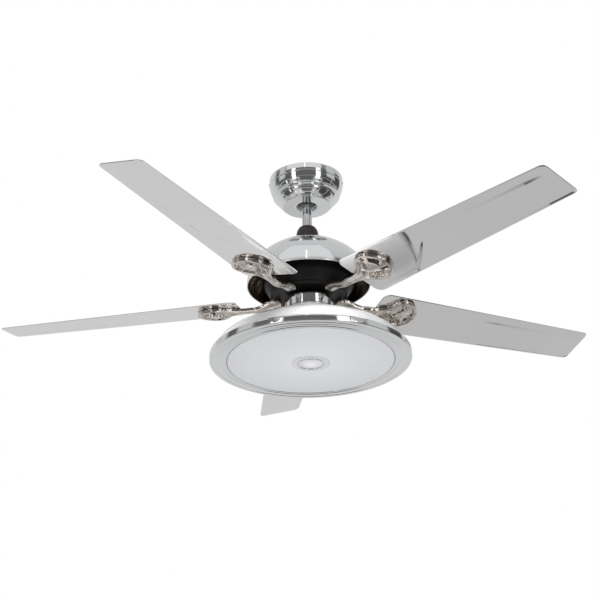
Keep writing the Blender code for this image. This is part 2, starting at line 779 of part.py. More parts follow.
def pan_outline():
    """Outer face of the white pan: flat top, shallow cone, then a rounded shoulder to the rim."""
    points = [(0.0080, PAN_TOP), (PAN_SEAT_RADIUS, PAN_TOP)]
    middle, reach, height, low = 0.100, 0.1038, 0.0658, -0.4223
    for index in range(6):
        angle = radians(62 - 54 * index / 5)
        points.append((middle + reach * cos(angle), low + height * sin(angle)))
    points.append((0.2015, -0.4160))
    return points


def make_lamp(looks, parent):
    chrome, white, opal, aluminium, steel, board, driver = looks
    turned("light_pan", thickened(pan_outline(), SHEET), FINE, white, parent)
    inner_wall = LAMP_RADIUS - RIM_SHEET
    face_inner = LENS_RADIUS + 0.0002
    rim = [
        (LAMP_RADIUS - 0.0006, LAMP_RIM_TOP),
        (LAMP_RADIUS, LAMP_RIM_TOP - 0.0012),
        (LAMP_RADIUS, LAMP_RIM_BASE + 0.0010),
        (LAMP_RADIUS - 0.0020, LAMP_RIM_BASE),
        (0.1900, -0.4232),
        (face_inner, -0.4240),
        (face_inner, -0.4212),
        (0.1900, -0.4212),
        (inner_wall, LAMP_RIM_BASE + 0.0020),
        (inner_wall, LAMP_RIM_TOP),
    ]
    turned("lamp_rim", rim, FINE, chrome, parent)
    lens_edge = LENS_RADIUS - 0.0005
    lens = [
        (0.0040, -0.4266),
        (0.1200, -0.4258),
        (lens_edge, -0.4238),
        (lens_edge, LENS_FLANGE_BASE),
        (0.1745, LENS_FLANGE_BASE),
        (0.1745, LENS_FLANGE_TOP),
        (0.1680, LENS_FLANGE_TOP),
        (0.1200, -0.4238),
        (0.0040, -0.4246),
    ]
    turned("diffuser", lens, FINE, opal, parent)
    cap = [
        (0.0, -0.4292),
        (0.0260, -0.4282),
        (0.0385, -0.4272),
        (0.0385, -0.4268),
        (0.0, -0.4269),
    ]
    turned("diffuser_cap", cap[::-1], MEDIUM, opal, parent, closed=False)
    plate_base = PLATE_TOP - 0.002
    plate = [(0.0, PLATE_TOP), (PLATE_RADIUS, PLATE_TOP), (PLATE_RADIUS, plate_base), (0.0, plate_base)]
    turned("light_plate", plate, MEDIUM, steel, parent, closed=False)
    start, end = (0, 0, plate_base - GAP), (0, 0, -0.4266)
    add_piece("cap_stud", rod_mesh(start, end, STUD_RADIUS, 12), steel, parent)
    tray = [(0.0040, TRAY_Z), (0.1560, TRAY_Z), (0.1850, -0.4197), (0.1950, -0.4197)]
    turned("led_tray", thickened(tray, SHEET), MEDIUM, aluminium, parent)
    top = TRAY_Z - SHEET - GAP
    leds = [(0.0450, top), (0.1450, top), (0.1450, top - 0.0016), (0.0450, top - 0.0016)]
    turned("led_board", leds, MEDIUM, board, parent)
    case_base, case_top = TRAY_Z + GAP, TRAY_Z + 0.020
    case = [(0.0600, case_top), (0.0600, case_base), (0.0300, case_base), (0.0300, case_top)]
    turned("led_driver", case, MEDIUM, driver, parent)


def main():
    clear_scene()
    chrome = principled("chrome", (0.80, 0.81, 0.82), 0.06, 1.0)
    zinc = principled("zinc_plated_steel", (0.62, 0.62, 0.60), 0.35, 1.0)
    screw_steel = principled("screw_steel", (0.70, 0.70, 0.70), 0.22, 1.0)
    nylon = principled("nylon", (0.78, 0.76, 0.70), 0.45, 0.0)
    ball_plastic = principled("ball_plastic", (0.10, 0.10, 0.10), 0.40, 0.0)
    dark_bronze = principled("dark_bronze_paint", (0.045, 0.038, 0.034), 0.30, 0.3)
    black = principled("black_paint", (0.012, 0.012, 0.012), 0.35, 0.0)
    cast_chrome = principled("warm_cast_chrome", (0.62, 0.57, 0.53), 0.12, 1.0)
    blade_steel = principled("polished_stainless", (0.66, 0.66, 0.66), 0.16, 1.0)
    white = principled("white_paint", (0.85, 0.85, 0.86), 0.30, 0.0)
    opal = principled("opal_plastic", (0.80, 0.80, 0.81), 0.35, 0.0)
    aluminium = principled("aluminium", (0.72, 0.73, 0.74), 0.30, 1.0)
    laminations = principled("laminated_steel", (0.30, 0.30, 0.31), 0.45, 1.0)
    copper = principled("copper_coils", (0.60, 0.26, 0.12), 0.35, 1.0)
    board = principled("led_board", (0.75, 0.77, 0.75), 0.40, 0.0)
    driver = principled("driver_case", (0.70, 0.70, 0.68), 0.50, 0.0)

    ceiling = empty("ceiling_point", (0, 0, 0))
    liner_centre = empty("liner_centre", (0, 0, BALL_Z), ceiling)
    ball_centre = empty("ball_centre", (0, 0, BALL_Z), liner_centre)
    rotor_axis = empty("rotor_axis", (0, 0, BLADE_Z), ball_centre)

    make_bracket(zinc, ceiling)
    make_canopy(chrome, ceiling)
    make_canopy_screws(screw_steel, ceiling)
    block("terminal_block", (-0.020, -0.020, -0.012), (-0.004, -0.006, -0.0028), white, ceiling)
    make_liner(nylon, liner_centre)
    make_ball(ball_plastic, ball_centre)
    make_downrod(chrome, ball_centre)
    make_pins(screw_steel, ball_centre)
    make_yoke(zinc, ball_centre)
    make_yoke_cover(dark_bronze, ball_centre)
    make_dome(chrome, ball_centre)
    make_shaft(zinc, ball_centre)
    make_bearings(screw_steel, ball_centre)
    make_stator(laminations, copper, ball_centre)
    make_neck(chrome, black, zinc, ball_centre)
    make_lamp((chrome, white, opal, aluminium, zinc, board, driver), ball_centre)
    make_rotor_covers(black, rotor_axis)
    make_cage(laminations, rotor_axis)
    make_blades(blade_steel, cast_chrome, screw_steel, rotor_axis)


main()
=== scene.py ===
"""Ceiling fan with light: the finished looks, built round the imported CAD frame.

Metres, +Z up. The ceiling is the plane z = 0 and the fan hangs below it. Every turned piece is
round the Z axis. Each piece rides on the CAD body that carries it: ceiling, liner, hanger or rotor.
"""

from math import cos, hypot, pi, radians, sin, sqrt

import bmesh
import bpy
from bpy.props import FloatProperty, FloatVectorProperty, IntProperty, PointerProperty
from mathutils import Matrix, Vector


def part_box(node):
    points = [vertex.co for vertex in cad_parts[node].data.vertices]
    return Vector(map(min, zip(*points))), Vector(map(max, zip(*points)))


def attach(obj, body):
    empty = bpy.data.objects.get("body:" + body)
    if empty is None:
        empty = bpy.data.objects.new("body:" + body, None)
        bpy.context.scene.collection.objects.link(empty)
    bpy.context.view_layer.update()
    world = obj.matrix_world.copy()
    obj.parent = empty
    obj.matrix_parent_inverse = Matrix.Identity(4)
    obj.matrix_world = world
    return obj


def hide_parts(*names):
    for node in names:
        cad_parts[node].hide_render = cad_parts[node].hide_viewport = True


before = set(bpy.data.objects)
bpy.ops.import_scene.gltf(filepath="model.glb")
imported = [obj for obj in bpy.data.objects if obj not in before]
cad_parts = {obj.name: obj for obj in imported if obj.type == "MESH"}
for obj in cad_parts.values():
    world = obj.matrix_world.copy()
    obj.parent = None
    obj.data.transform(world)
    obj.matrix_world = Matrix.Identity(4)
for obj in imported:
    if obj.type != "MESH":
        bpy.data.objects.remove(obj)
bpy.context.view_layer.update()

bl_info = {
    "name": "Ceiling fan with light",
    "version": (1, 0, 0),
    "blender": (4, 5, 0),
    "location": "View3D > Sidebar > Ceiling fan",
    "description": "Builds a five-blade ceiling fan with a round lamp on its packed frame",
    "category": "Object",
}


# ---------------------------------------------------------------- places taken from the frame
def top_of(node):
    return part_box(node)[1].z


def base_of(node):
    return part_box(node)[0].z


def radius_of(node):
    """Half of the node's width along X, which is its radius if it is turned about Z."""
    low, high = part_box(node)
    return (high.x - low.x) / 2


CANOPY_RADIUS = radius_of("canopy")
CANOPY_TOP, CANOPY_BASE = top_of("canopy"), base_of("canopy")
ROD_RADIUS = radius_of("downrod")
ROD_TOP, ROD_BASE = top_of("downrod"), base_of("downrod")
BALL_RADIUS = radius_of("hanger_ball")
BALL_Z = (base_of("hanger_ball") + top_of("hanger_ball")) / 2
COVER_RADIUS = radius_of("yoke_cover")
COVER_TOP, COVER_BASE = top_of("yoke_cover"), base_of("yoke_cover")
DOME_RADIUS = radius_of("motor_dome")
DOME_TOP, DOME_RIM = top_of("motor_dome"), base_of("motor_dome")
ROTOR_RADIUS = radius_of("rotor_top_cover")
ROTOR_TOP, ROTOR_SPLIT = top_of("rotor_top_cover"), base_of("rotor_top_cover")
ROTOR_BASE = base_of("rotor_bottom_cover")
BELL_TOP, BELL_BASE = top_of("neck_cover"), base_of("neck_cover")
BELL_RADIUS = radius_of("neck_cover")
PAN_TOP = top_of("light_pan")
RIM_RADIUS = radius_of("lamp_rim")
RIM_TOP, RIM_FACE = top_of("lamp_rim"), base_of("lamp_rim")
CAP_RADIUS = radius_of("diffuser_cap")
CAP_BASE = base_of("diffuser_cap")

# Blades and arms: u runs out from the axis, v across towards the trailing edge, w upwards
BLADE_COUNT = 5
FIRST_AZIMUTH = -46.0
BLADE_Z = -0.2872
ROOT_U = 0.146
TIP_LEAD_U, TIP_TRAIL_U = 0.657, 0.6595
ROOT_LEAD, ROOT_TRAIL = -0.0672, 0.0615
TIP_LEAD, TIP_TRAIL = -0.0596, 0.0386
ARM_THICKNESS = 0.0055
CLEARANCE = 0.0003
SCREW_PLACES = ((0.1850, 0.0100), (0.1950, -0.0450), (0.2250, -0.0150))


# ---------------------------------------------------------------- settings shown to a user
def length_property(name, description, default, low, high):
    return FloatProperty(
        name=name,
        description=description,
        default=default,
        min=low,
        max=high,
        precision=4,
        unit="LENGTH",
    )


def power_property(name, description, default):
    return FloatProperty(
        name=name,
        description=description,
        default=default,
        min=0.0,
        max=2000.0,
        unit="POWER",
    )


def colour_property(name, description, default):
    return FloatVectorProperty(
        name=name,
        description=description,
        default=default,
        size=3,
        min=0.0,
        max=1.0,
        subtype="COLOR",
    )


class FAN_PG_sizes(bpy.types.PropertyGroup):
    """Sizes of the visible pieces that can be changed without moving a joint"""

    turned_steps: IntProperty(
        name="Turned steps",
        description="Faces round each large turned piece",
        default=144,
        min=24,
        max=512,
    )
    sheet: length_property(
        "Sheet thickness",
        "Thickness of the canopy, yoke cover, dome, neck cover and lamp pan",
        0.0010,
        0.0005,
        0.003,
    )
    blade_pitch: FloatProperty(
        name="Blade pitch",
        description="Tilt of each blade about its own middle line",
        default=radians(12.25),
        min=0.0,
        max=radians(20),
        unit="ROTATION",
    )
    blade_thickness: length_property(
        "Blade thickness", "Thickness of a blade inside its rolled edges", 0.0020, 0.001, 0.004
    )
    screw_head: length_property(
        "Screw head radius", "Radius of the blade screws' round heads", 0.0042, 0.002, 0.005
    )


class FAN_PG_colours(bpy.types.PropertyGroup):
    """Colours of the finishes"""

    chrome: colour_property("Chrome", "Polished plate on canopy, dome and lamp rim", (0.83, 0.84, 0.85))
    blade: colour_property("Blade steel", "Polished stainless sheet of the blades", (0.84, 0.835, 0.83))
    casting: colour_property("Arm casting", "Plated castings that hold the blades", (0.72, 0.66, 0.61))
    bronze: colour_property("Yoke cover", "Near-black paint of the yoke cover", (0.018, 0.015, 0.014))
    motor: colour_property("Motor case", "Black paint of the motor case", (0.010, 0.010, 0.010))
    enamel: colour_property("Lamp pan", "White enamel of the lamp pan", (0.86, 0.86, 0.865))
    opal: colour_property("Diffuser", "Frosted plastic of the diffuser", (0.765, 0.762, 0.782))
    floor: colour_property("Floor", "Pale studio floor", (0.82, 0.82, 0.82))


class FAN_PG_studio(bpy.types.PropertyGroup):
    """Light and camera"""

    lens: FloatProperty(
        name="Lens",
        description="Focal length of the camera, on a 36 mm sensor",
        default=85.44,
        min=20.0,
        max=300.0,
        unit="CAMERA",
    )
    key_power: power_property("Overhead light", "Power of the broad light above the fan", 120.0)
    fill_power: power_property("Floor fill", "Power of the broad light that lifts the undersides", 26.0)
    room_brightness: FloatProperty(
        name="Room brightness",
        description="Strength of the studio room that polished parts mirror",
        default=1.0,
        min=0.0,
        max=4.0,
    )


# ---------------------------------------------------------------- finishes
def math_node(tree, operation, first, second=None):
    made = tree.nodes.new("ShaderNodeMath")
    made.operation = operation
    for socket, value in zip(made.inputs, (first, second)):
        if isinstance(value, (int, float)):
            socket.default_value = value
        elif value is not None:
            tree.links.new(value, socket)
    return made.outputs["Value"]


class Finish:
    """One node material, built round its Principled shader."""

    def __init__(self, name, colour, roughness, metallic=0.0, **sockets):
        self.material = bpy.data.materials.new(name)
        self.material.use_nodes = True
        self.tree = self.material.node_tree
        self.shader = self.tree.nodes["Principled BSDF"]
        self.shader.inputs["Base Color"].default_value = (*colour, 1.0)
        self.shader.inputs["Roughness"].default_value = roughness
        self.shader.inputs["Metallic"].default_value = metallic
        for socket, value in sockets.items():
            self.shader.inputs[socket.replace("_", " ")].default_value = value
        self.material.diffuse_color = (*colour, 1.0)
        self.colour = colour
        self.roughness = roughness

    def node(self, kind, **settings):
        made = self.tree.nodes.new(kind)
        for key, value in settings.items():
            setattr(made, key, value)
        return made

    def link(self, source, target):
        self.tree.links.new(source, target)

    def place(self, stretch=(1.0, 1.0, 1.0), source="Object"):
        """Texture coordinates in metres, stretched along each axis."""
        coordinates = self.node("ShaderNodeTexCoord")
        mapping = self.node("ShaderNodeMapping")
        mapping.inputs["Scale"].default_value = stretch
        self.link(coordinates.outputs[source], mapping.inputs["Vector"])
        return mapping.outputs["Vector"]

    def noise(self, place, scale, detail=3.0, distortion=0.0):
        made = self.node("ShaderNodeTexNoise")
        made.inputs["Scale"].default_value = scale
        made.inputs["Detail"].default_value = detail
        made.inputs["Distortion"].default_value = distortion
        self.link(place, made.inputs["Vector"])
        return made.outputs["Fac"]

    def cells(self, place, scale):
        made = self.node("ShaderNodeTexVoronoi")
        made.inputs["Scale"].default_value = scale
        self.link(place, made.inputs["Vector"])
        return made.outputs["Distance"]

    def rings(self, place, scale):
        """Rings round the Z axis, for turned or spun metal."""
        made = self.node("ShaderNodeTexWave", wave_type="RINGS", rings_direction="Z")
        made.inputs["Scale"].default_value = scale
        made.inputs["Distortion"].default_value = 0.0
        self.link(place, made.inputs["Vector"])
        return made.outputs["Fac"]

    def layers(self, place, scale):
        """Bands stacked along Z."""
        made = self.node("ShaderNodeTexWave", wave_type="BANDS", bands_direction="Z")
        made.inputs["Scale"].default_value = scale
        self.link(place, made.inputs["Vector"])
        return made.outputs["Fac"]

    def middle(self, spread):
        """1 on the Z axis, fading to 0 at a radius of 1 / spread."""
        made = self.node("ShaderNodeTexGradient", gradient_type="SPHERICAL")
        self.link(self.place((spread, spread, 0.0)), made.inputs["Vector"])
        return made.outputs["Fac"]

    def math(self, operation, first, second=None):
        return math_node(self.tree, operation, first, second)

    def map_parts(self, layer):
        """The two coordinates of a UV map."""
        coordinates = self.node("ShaderNodeUVMap", uv_map=layer)
        parts = self.node("ShaderNodeSeparateXYZ")
        self.link(coordinates.outputs["UV"], parts.inputs["Vector"])
        return parts.outputs["X"], parts.outputs["Y"]

    def ranged(self, value, low, high, start=0.3, end=0.7, interpolation="LINEAR"):
        made = self.node("ShaderNodeMapRange", interpolation_type=interpolation)
        made.inputs["From Min"].default_value = start
        made.inputs["From Max"].default_value = end
        made.inputs["To Min"].default_value = low
        made.inputs["To Max"].default_value = high
        self.link(value, made.inputs["Value"])
        return made.outputs["Result"]

    def worn(self, value, spread):
        """Lets the roughness wander by spread either side of its own value."""
        low, high = max(self.roughness - spread, 0.0), self.roughness + spread
        self.link(self.ranged(value, low, high), self.shader.inputs["Roughness"])
        return self

    def tinted(self, value, darker, lighter=1.0, start=0.3, end=0.7):
        """Shades the base colour from darker to lighter times its own value."""
        ramp = self.node("ShaderNodeValToRGB")
        for element, place, share in zip(ramp.color_ramp.elements, (start, end), (darker, lighter)):
            element.position = place
            element.color = (*(min(part * share, 1.0) for part in self.colour), 1.0)
        self.link(value, ramp.inputs["Fac"])
        self.link(ramp.outputs["Color"], self.shader.inputs["Base Color"])
        return self

    def bumped(self, *layers):
        """Adds (height, strength, distance) layers of bump, coarsest first."""
        normal = None
        for height, strength, distance in layers:
            made = self.node("ShaderNodeBump")
            made.inputs["Strength"].default_value = strength
            made.inputs["Distance"].default_value = distance
            self.link(height, made.inputs["Height"])
            if normal is not None:
                self.link(normal, made.inputs["Normal"])
            normal = made.outputs["Normal"]
        self.link(normal, self.shader.inputs["Normal"])
        return self


FINISHES = {}


def finish(name):
    if name not in FINISHES:
        FINISHES[name] = FINISH_MAKERS[name](bpy.context.scene.fan_colours)
    return FINISHES[name]


def chrome_finish(colours):
    made = Finish("polished_chrome", colours.chrome, 0.035, 1.0)
    place = made.place()
    made.worn(made.noise(place, 90.0, 4.0), 0.015)
    return made.bumped((made.noise(place, 22.0, 1.0), 0.10, 0.0006)).material


def dome_finish(colours):
    made = Finish("spun_dome_chrome", colours.chrome, 0.09, 1.0)
    place = made.place()
    made.worn(made.noise(place, 60.0, 4.0), 0.03)
    return made.bumped((made.noise(place, 14.0, 1.0), 0.12, 0.0008)).material


def lining_finish(colours):
    """Less polished inside of the dome. Its dark brown tone and the bright streaks in its colour are
    painted reflection; the streaks also bump it.
    """
    # Painted reflection: a dark brown tone for the inside of the dome.
    brown = tuple(part * share for part, share in zip(colours.chrome, (0.36, 0.32, 0.27)))
    made = Finish("dome_lining", brown, 0.16, 1.0)
    place = made.place()
    streaks_and_painted_reflection = made.noise(made.place((1.0, 1.0, 0.15)), 26.0, 3.0, 1.2)
    # Painted reflection: bright streaks lighten the base colour up to 1.9 times.
    made.tinted(streaks_and_painted_reflection, 0.35, 1.9, 0.38, 0.66)
    made.worn(made.noise(place, 120.0, 3.0), 0.05)
    return made.bumped((streaks_and_painted_reflection, 0.35, 0.0018)).material


def rim_finish(colours):
    made = Finish("turned_rim_chrome", colours.chrome, 0.075, 1.0)
    place = made.place()
    fine = made.rings(place, 260.0)
    made.worn(made.noise(place, 40.0, 3.0), 0.03)
    return made.bumped((fine, 0.05, 0.00005)).material


# Places on a blade's UV maps, in metres: u along it from the axis, v across it
STEP_ROOT_V, STEP_TIP_V = 0.045, -0.037
STEP_TURN_START, STEP_TURN_END = 0.245, 0.375
STEP_HALF_WIDTH, STEP_DEPTH = 0.0060, 0.0025
STEP_FADE_START, STEP_FADE_END = 0.595, 0.655
FLANGE_WIDTH, FLANGE_DEPTH = 0.0085, 0.0018


def blade_finish(colours):
    made = Finish("polished_blade_steel", colours.blade, 0.06, 1.0)
    grain_place = made.place((0.6, 60.0, 1.0), "UV")
    grain = made.noise(grain_place, 12.0, 4.0)
    made.worn(grain, 0.02)
    made.tinted(made.noise(made.place(source="UV"), 5.0, 2.0), 0.975)
    waves = made.noise(made.place((1.0, 2.2, 1.0), "UV"), 5.5, 1.0, 0.4)
    along, across = made.map_parts("along_blade")
    # A pressed step crosses the blade near the root, then runs beside the leading edge.
    path = made.ranged(along, STEP_ROOT_V, STEP_TIP_V, STEP_TURN_START, STEP_TURN_END, "SMOOTHSTEP")
    past_path = made.math("SUBTRACT", across, path)
    step = made.ranged(past_path, 0.0, 1.0, -STEP_HALF_WIDTH, STEP_HALF_WIDTH, "SMOOTHSTEP")
    step = made.math("MULTIPLY", step, made.ranged(along, 0.25, 1.0, 0.36, 0.44))
    step = made.math("MULTIPLY", step, made.ranged(along, 1.0, 0.0, STEP_FADE_START, STEP_FADE_END))
    # The trailing edge is turned down into a narrow flange.
    _, to_trailing = made.map_parts("from_edges")
    flange = made.ranged(to_trailing, 1.0, 0.0, 0.0, FLANGE_WIDTH, "SMOOTHSTEP")
    flange = made.math("MULTIPLY", flange, made.ranged(along, 0.15, 1.0, 0.38, 0.46))
    shaped = ((waves, 0.30, 0.0016), (step, 1.0, STEP_DEPTH), (flange, 1.0, FLANGE_DEPTH))
    return made.bumped(*shaped, (grain, 0.015, 0.00004)).material


def casting_finish(colours):
    made = Finish("warm_plated_casting", colours.casting, 0.055, 1.0)
    place = made.place()
    soft = made.noise(place, 70.0, 2.0)
    made.worn(made.noise(place, 240.0, 4.0), 0.03)
    # Painted sheen: the same noise that ripples the surface darkens and lightens the base colour,
    # painted dark and bright reflections.
    made.tinted(soft, 0.62, 1.12)
    pits = made.noise(place, 420.0, 3.0)
    return made.bumped((soft, 0.70, 0.0026), (pits, 0.06, 0.00010)).material


def bronze_finish(colours):
    made = Finish("dark_bronze_gloss", colours.bronze, 0.26, 0.0, Specular_IOR_Level=0.25)
    place = made.place()
    flake = made.cells(place, 2600.0)
    made.tinted(flake, 0.8, 1.5, 0.1, 0.6)
    return made.bumped((made.noise(place, 520.0, 3.0), 0.10, 0.00006)).material


def motor_finish(colours):
    made = Finish("black_motor_paint", colours.motor, 0.34, 0.0, Specular_IOR_Level=0.15)
    place = made.place()
    grain = made.noise(place, 900.0, 3.0)
    made.worn(grain, 0.07)
    return made.bumped((grain, 0.20, 0.00012)).material


def enamel_finish(colours):
    made = Finish("white_enamel", colours.enamel, 0.22, 0.0, Coat_Weight=0.4, Coat_Roughness=0.08)
    place = made.place()
    peel = made.noise(place, 190.0, 2.0)
    made.worn(made.noise(place, 30.0, 3.0), 0.04)
    return made.bumped((peel, 0.05, 0.00012)).material


def opal_finish(colours):
    glow = {"Subsurface_Weight": 0.12, "Subsurface_Scale": 0.01, "Specular_IOR_Level": 0.35}
    made = Finish("frosted_opal", colours.opal, 0.38, 0.0, **glow)
    place = made.place()
    frost = made.noise(place, 1400.0, 2.0)
    made.worn(frost, 0.05)
    # Painted light: the base colour is paler towards the middle, a painted glow round the cap.
    made.tinted(made.middle(5.4), 0.95, 1.15, 0.02, 0.98)
    return made.bumped((frost, 0.06, 0.00005)).material


def cap_finish(colours):
    made = Finish("opal_cap", colours.opal, 0.24, 0.0, Coat_Weight=0.3)
    place = made.place()
    # Painted highlight: the base colour is brighter on the domed middle.
    made.tinted(made.middle(42.0), 0.98, 1.27, 0.05, 0.75)
    made.worn(made.noise(place, 200.0, 3.0), 0.05)
    return made.bumped((made.noise(place, 1200.0, 2.0), 0.04, 0.00004)).material


def screw_finish(colours):
    made = Finish("bright_screw_steel", (0.74, 0.74, 0.73), 0.16, 1.0)
    place = made.place()
    made.tinted(made.noise(place, 600.0, 3.0), 0.8, 1.05)
    return made.worn(made.noise(place, 900.0, 3.0), 0.06).material


def zinc_finish(colours):
    made = Finish("zinc_plated_steel", (0.60, 0.61, 0.60), 0.34, 1.0)
    place = made.place()
    spangle = made.cells(place, 260.0)
    made.tinted(spangle, 0.88, 1.08, 0.1, 0.7)
    made.worn(made.noise(place, 320.0, 4.0), 0.08)
    return made.bumped((made.noise(place, 500.0, 3.0), 0.08, 0.00008)).material


# Painted shade: a near-black, non-metal finish for the screws' cross recesses, which are drawn as solid
# blocks on the heads.
def recess_shade_finish(colours):
    made = Finish("painted_recess_shade", (0.012, 0.012, 0.012), 0.55)
    return made.bumped((made.noise(made.place(), 900.0, 3.0), 0.1, 0.0001)).material


def nylon_finish(colours):
    glow = {"Subsurface_Weight": 0.1, "Subsurface_Scale": 0.002}
    made = Finish("white_nylon", (0.78, 0.76, 0.70), 0.45, 0.0, **glow)
    place = made.place()
    made.tinted(made.noise(place, 150.0, 3.0), 0.94)
    return made.bumped((made.noise(place, 800.0, 3.0), 0.08, 0.00008)).material


def ball_finish(colours):
    made = Finish("moulded_ball_plastic", (0.07, 0.07, 0.07), 0.36)
    place = made.place()
    return made.worn(made.noise(place, 300.0, 3.0), 0.08).material


def laminated_finish(colours):
    made = Finish("steel_laminations", (0.32, 0.32, 0.33), 0.42, 1.0)
    sheets = made.layers(made.place(), 320.0)
    made.tinted(sheets, 0.55, 1.1, 0.2, 0.8)
    return made.bumped((sheets, 0.5, 0.0002)).material


def copper_finish(colours):
    made = Finish("enamelled_copper", (0.60, 0.26, 0.12), 0.28, 1.0)
    wires = made.rings(made.place(), 280.0)
    made.tinted(wires, 0.45, 1.15, 0.1, 0.8)
    return made.bumped((wires, 0.7, 0.0004)).material


def aluminium_finish(colours):
    made = Finish("pressed_aluminium", (0.76, 0.77, 0.78), 0.30, 1.0)
    place = made.place()
    made.worn(made.noise(place, 220.0, 4.0), 0.08)
    return made.bumped((made.rings(place, 120.0), 0.08, 0.0001)).material


def board_finish(colours):
    """White circuit board with a ring pattern of small yellow chips."""
    made = Finish("led_circuit_board", (0.80, 0.81, 0.79), 0.42)
    chips = made.cells(made.place((1.0, 1.0, 0.0)), 62.0)
    ramp = made.node("ShaderNodeValToRGB")
    ramp.color_ramp.interpolation = "CONSTANT"
    ramp.color_ramp.elements[0].color = (0.80, 0.62, 0.14, 1.0)
    ramp.color_ramp.elements[1].position = 0.16
    ramp.color_ramp.elements[1].color = (0.80, 0.81, 0.79, 1.0)
    made.link(chips, ramp.inputs["Fac"])
    made.link(ramp.outputs["Color"], made.shader.inputs["Base Color"])
    return made.bumped((chips, 0.1, 0.0003)).material


def driver_finish(colours):
    made = Finish("moulded_driver_case", (0.72, 0.72, 0.70), 0.48)
    place = made.place()
    grain = made.noise(place, 1100.0, 3.0)
    made.tinted(made.noise(place, 60.0, 2.0), 0.95)
    return made.bumped((grain, 0.25, 0.00012)).material


FINISH_MAKERS = {
    "chrome": chrome_finish,
    "dome": dome_finish,
    "dome_lining": lining_finish,
    "rim": rim_finish,
    "blade": blade_finish,
    "casting": casting_finish,
    "bronze": bronze_finish,
    "motor": motor_finish,
    "enamel": enamel_finish,
    "opal": opal_finish,
    "cap": cap_finish,
    "screw": screw_finish,
    "zinc": zinc_finish,
    "socket": recess_shade_finish,
    "nylon": nylon_finish,
    "ball": ball_finish,
    "laminated": laminated_finish,
    "copper": copper_finish,
    "aluminium": aluminium_finish,
    "board": board_finish,
    "driver": driver_finish,
}


# ---------------------------------------------------------------- mesh tools
# Side faces of a block with corners 0 to 3 at one end and 4 to 7 at the other
BLOCK_SIDES = [(i, (i + 1) % 4, (i + 1) % 4 + 4, i + 4) for i in range(4)]
ON_AXIS = 1e-7


def new_piece(name, vertices, faces, looks, body, nodes=(), sharp=32.0):
    """Makes a smooth-shaded mesh object and ties it to its CAD body, slot and nodes."""
    mesh = bpy.data.meshes.new(name)
    mesh.from_pydata(vertices, [], faces)
    mesh.validate()
    work = bmesh.new()
    work.from_mesh(mesh)
    bmesh.ops.recalc_face_normals(work, faces=work.faces)
    work.to_mesh(mesh)
    work.free()
    mesh.shade_smooth()
    mesh.set_sharp_from_angle(angle=radians(sharp))
    for look in looks:
        mesh.materials.append(finish(look))
    made = bpy.data.objects.new(name, mesh)
    bpy.context.scene.collection.objects.link(made)
    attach(made, body)
    if nodes:
        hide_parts(*nodes)
    return made


class Shape:
    """A growing list of vertices and faces."""

    def __init__(self):
        self.vertices = []
        self.faces = []

    def add(self, vertices, faces):
        start = len(self.vertices)
        self.vertices += [tuple(v) for v in vertices]
        self.faces += [tuple(index + start for index in face) for face in faces]
        return start

    def moved(self, matrix):
        self.vertices = [tuple(matrix @ Vector(v)) for v in self.vertices]
        return self


def spun(profile, steps, closed=True):
    """Turns (radius, z) points about Z. An open profile starts and ends on the axis."""
    shape = Shape()
    rings = []
    for radius, z in profile:
        if radius < ON_AXIS:
            shape.vertices.append((0.0, 0.0, z))
            rings.append([len(shape.vertices) - 1])
            continue
        first = len(shape.vertices)
        for step in range(steps):
            angle = 2 * pi * step / steps
            shape.vertices.append((radius * cos(angle), radius * sin(angle), z))
        rings.append(list(range(first, first + steps)))
    pairs = list(zip(rings, rings[1:]))
    if closed:
        pairs.append((rings[-1], rings[0]))
    for near, far in pairs:
        for step in range(steps):
            after = (step + 1) % steps
            corners = [
                near[step % len(near)],
                near[after % len(near)],
                far[after % len(far)],
                far[step % len(far)],
            ]
            face = tuple(dict.fromkeys(corners))
            if len(face) > 2:
                shape.faces.append(face)
    return shape


def offset(outer, thickness):
    """Closes an outline that runs outwards and down, or down and inwards, into a thin shell."""
    inner = []
    last = len(outer) - 1
    for index, (radius, z) in enumerate(outer):
        before = outer[max(index - 1, 0)]
        after = outer[min(index + 1, last)]
        run, rise = after[0] - before[0], after[1] - before[1]
        length = hypot(run, rise)
        inner.append((radius + thickness * rise / length, z - thickness * run / length))
    return outer + inner[::-1]


def turned(name, profile, look, body, nodes=(), steps=None, closed=True, sharp=32.0):
    steps = steps or bpy.context.scene.fan_sizes.turned_steps
    shape = spun(profile, steps, closed)
    return new_piece(name, shape.vertices, shape.faces, [look], body, nodes, sharp)


def along(points, count):
    """Spreads count points evenly over a polyline."""
    lengths = [0.0]
    for first, second in zip(points, points[1:]):
        lengths.append(lengths[-1] + hypot(second[0] - first[0], second[1] - first[1]))
    spread = []
    piece = 0
    for index in range(count):
        target = lengths[-1] * index / (count - 1)
        while piece < len(points) - 2 and lengths[piece + 1] < target:
            piece += 1
        share = (target - lengths[piece]) / (lengths[piece + 1] - lengths[piece])
        first, second = points[piece], points[piece + 1]
        spread.append(tuple(a + (b - a) * share for a, b in zip(first, second)))
    return spread


def rounded(points, radius, count=5):
    """Replaces each inner corner of a polyline with a short arc of about that radius."""
    smooth = [points[0]]
    for before, corner, after in zip(points, points[1:], points[2:]):
        corner = Vector(corner)
        first, second = Vector(before) - corner, Vector(after) - corner
        reach = min(radius, first.length / 2.2, second.length / 2.2)
        start = corner + first.normalized() * reach
        end = corner + second.normalized() * reach
        for index in range(count):
            t = index / (count - 1)
            spot = start * (1 - t) ** 2 + corner * 2 * t * (1 - t) + end * t**2
            smooth.append(tuple(spot))
    smooth.append(points[-1])
    return smooth


def arc(centre, radius, start, end, count):
    """Points of an arc in the (radius, z) plane. Angles are in degrees from outwards."""
    angles = [radians(start + (end - start) * index / (count - 1)) for index in range(count)]
    return [(centre[0] + radius * cos(a), centre[1] + radius * sin(a)) for a in angles]


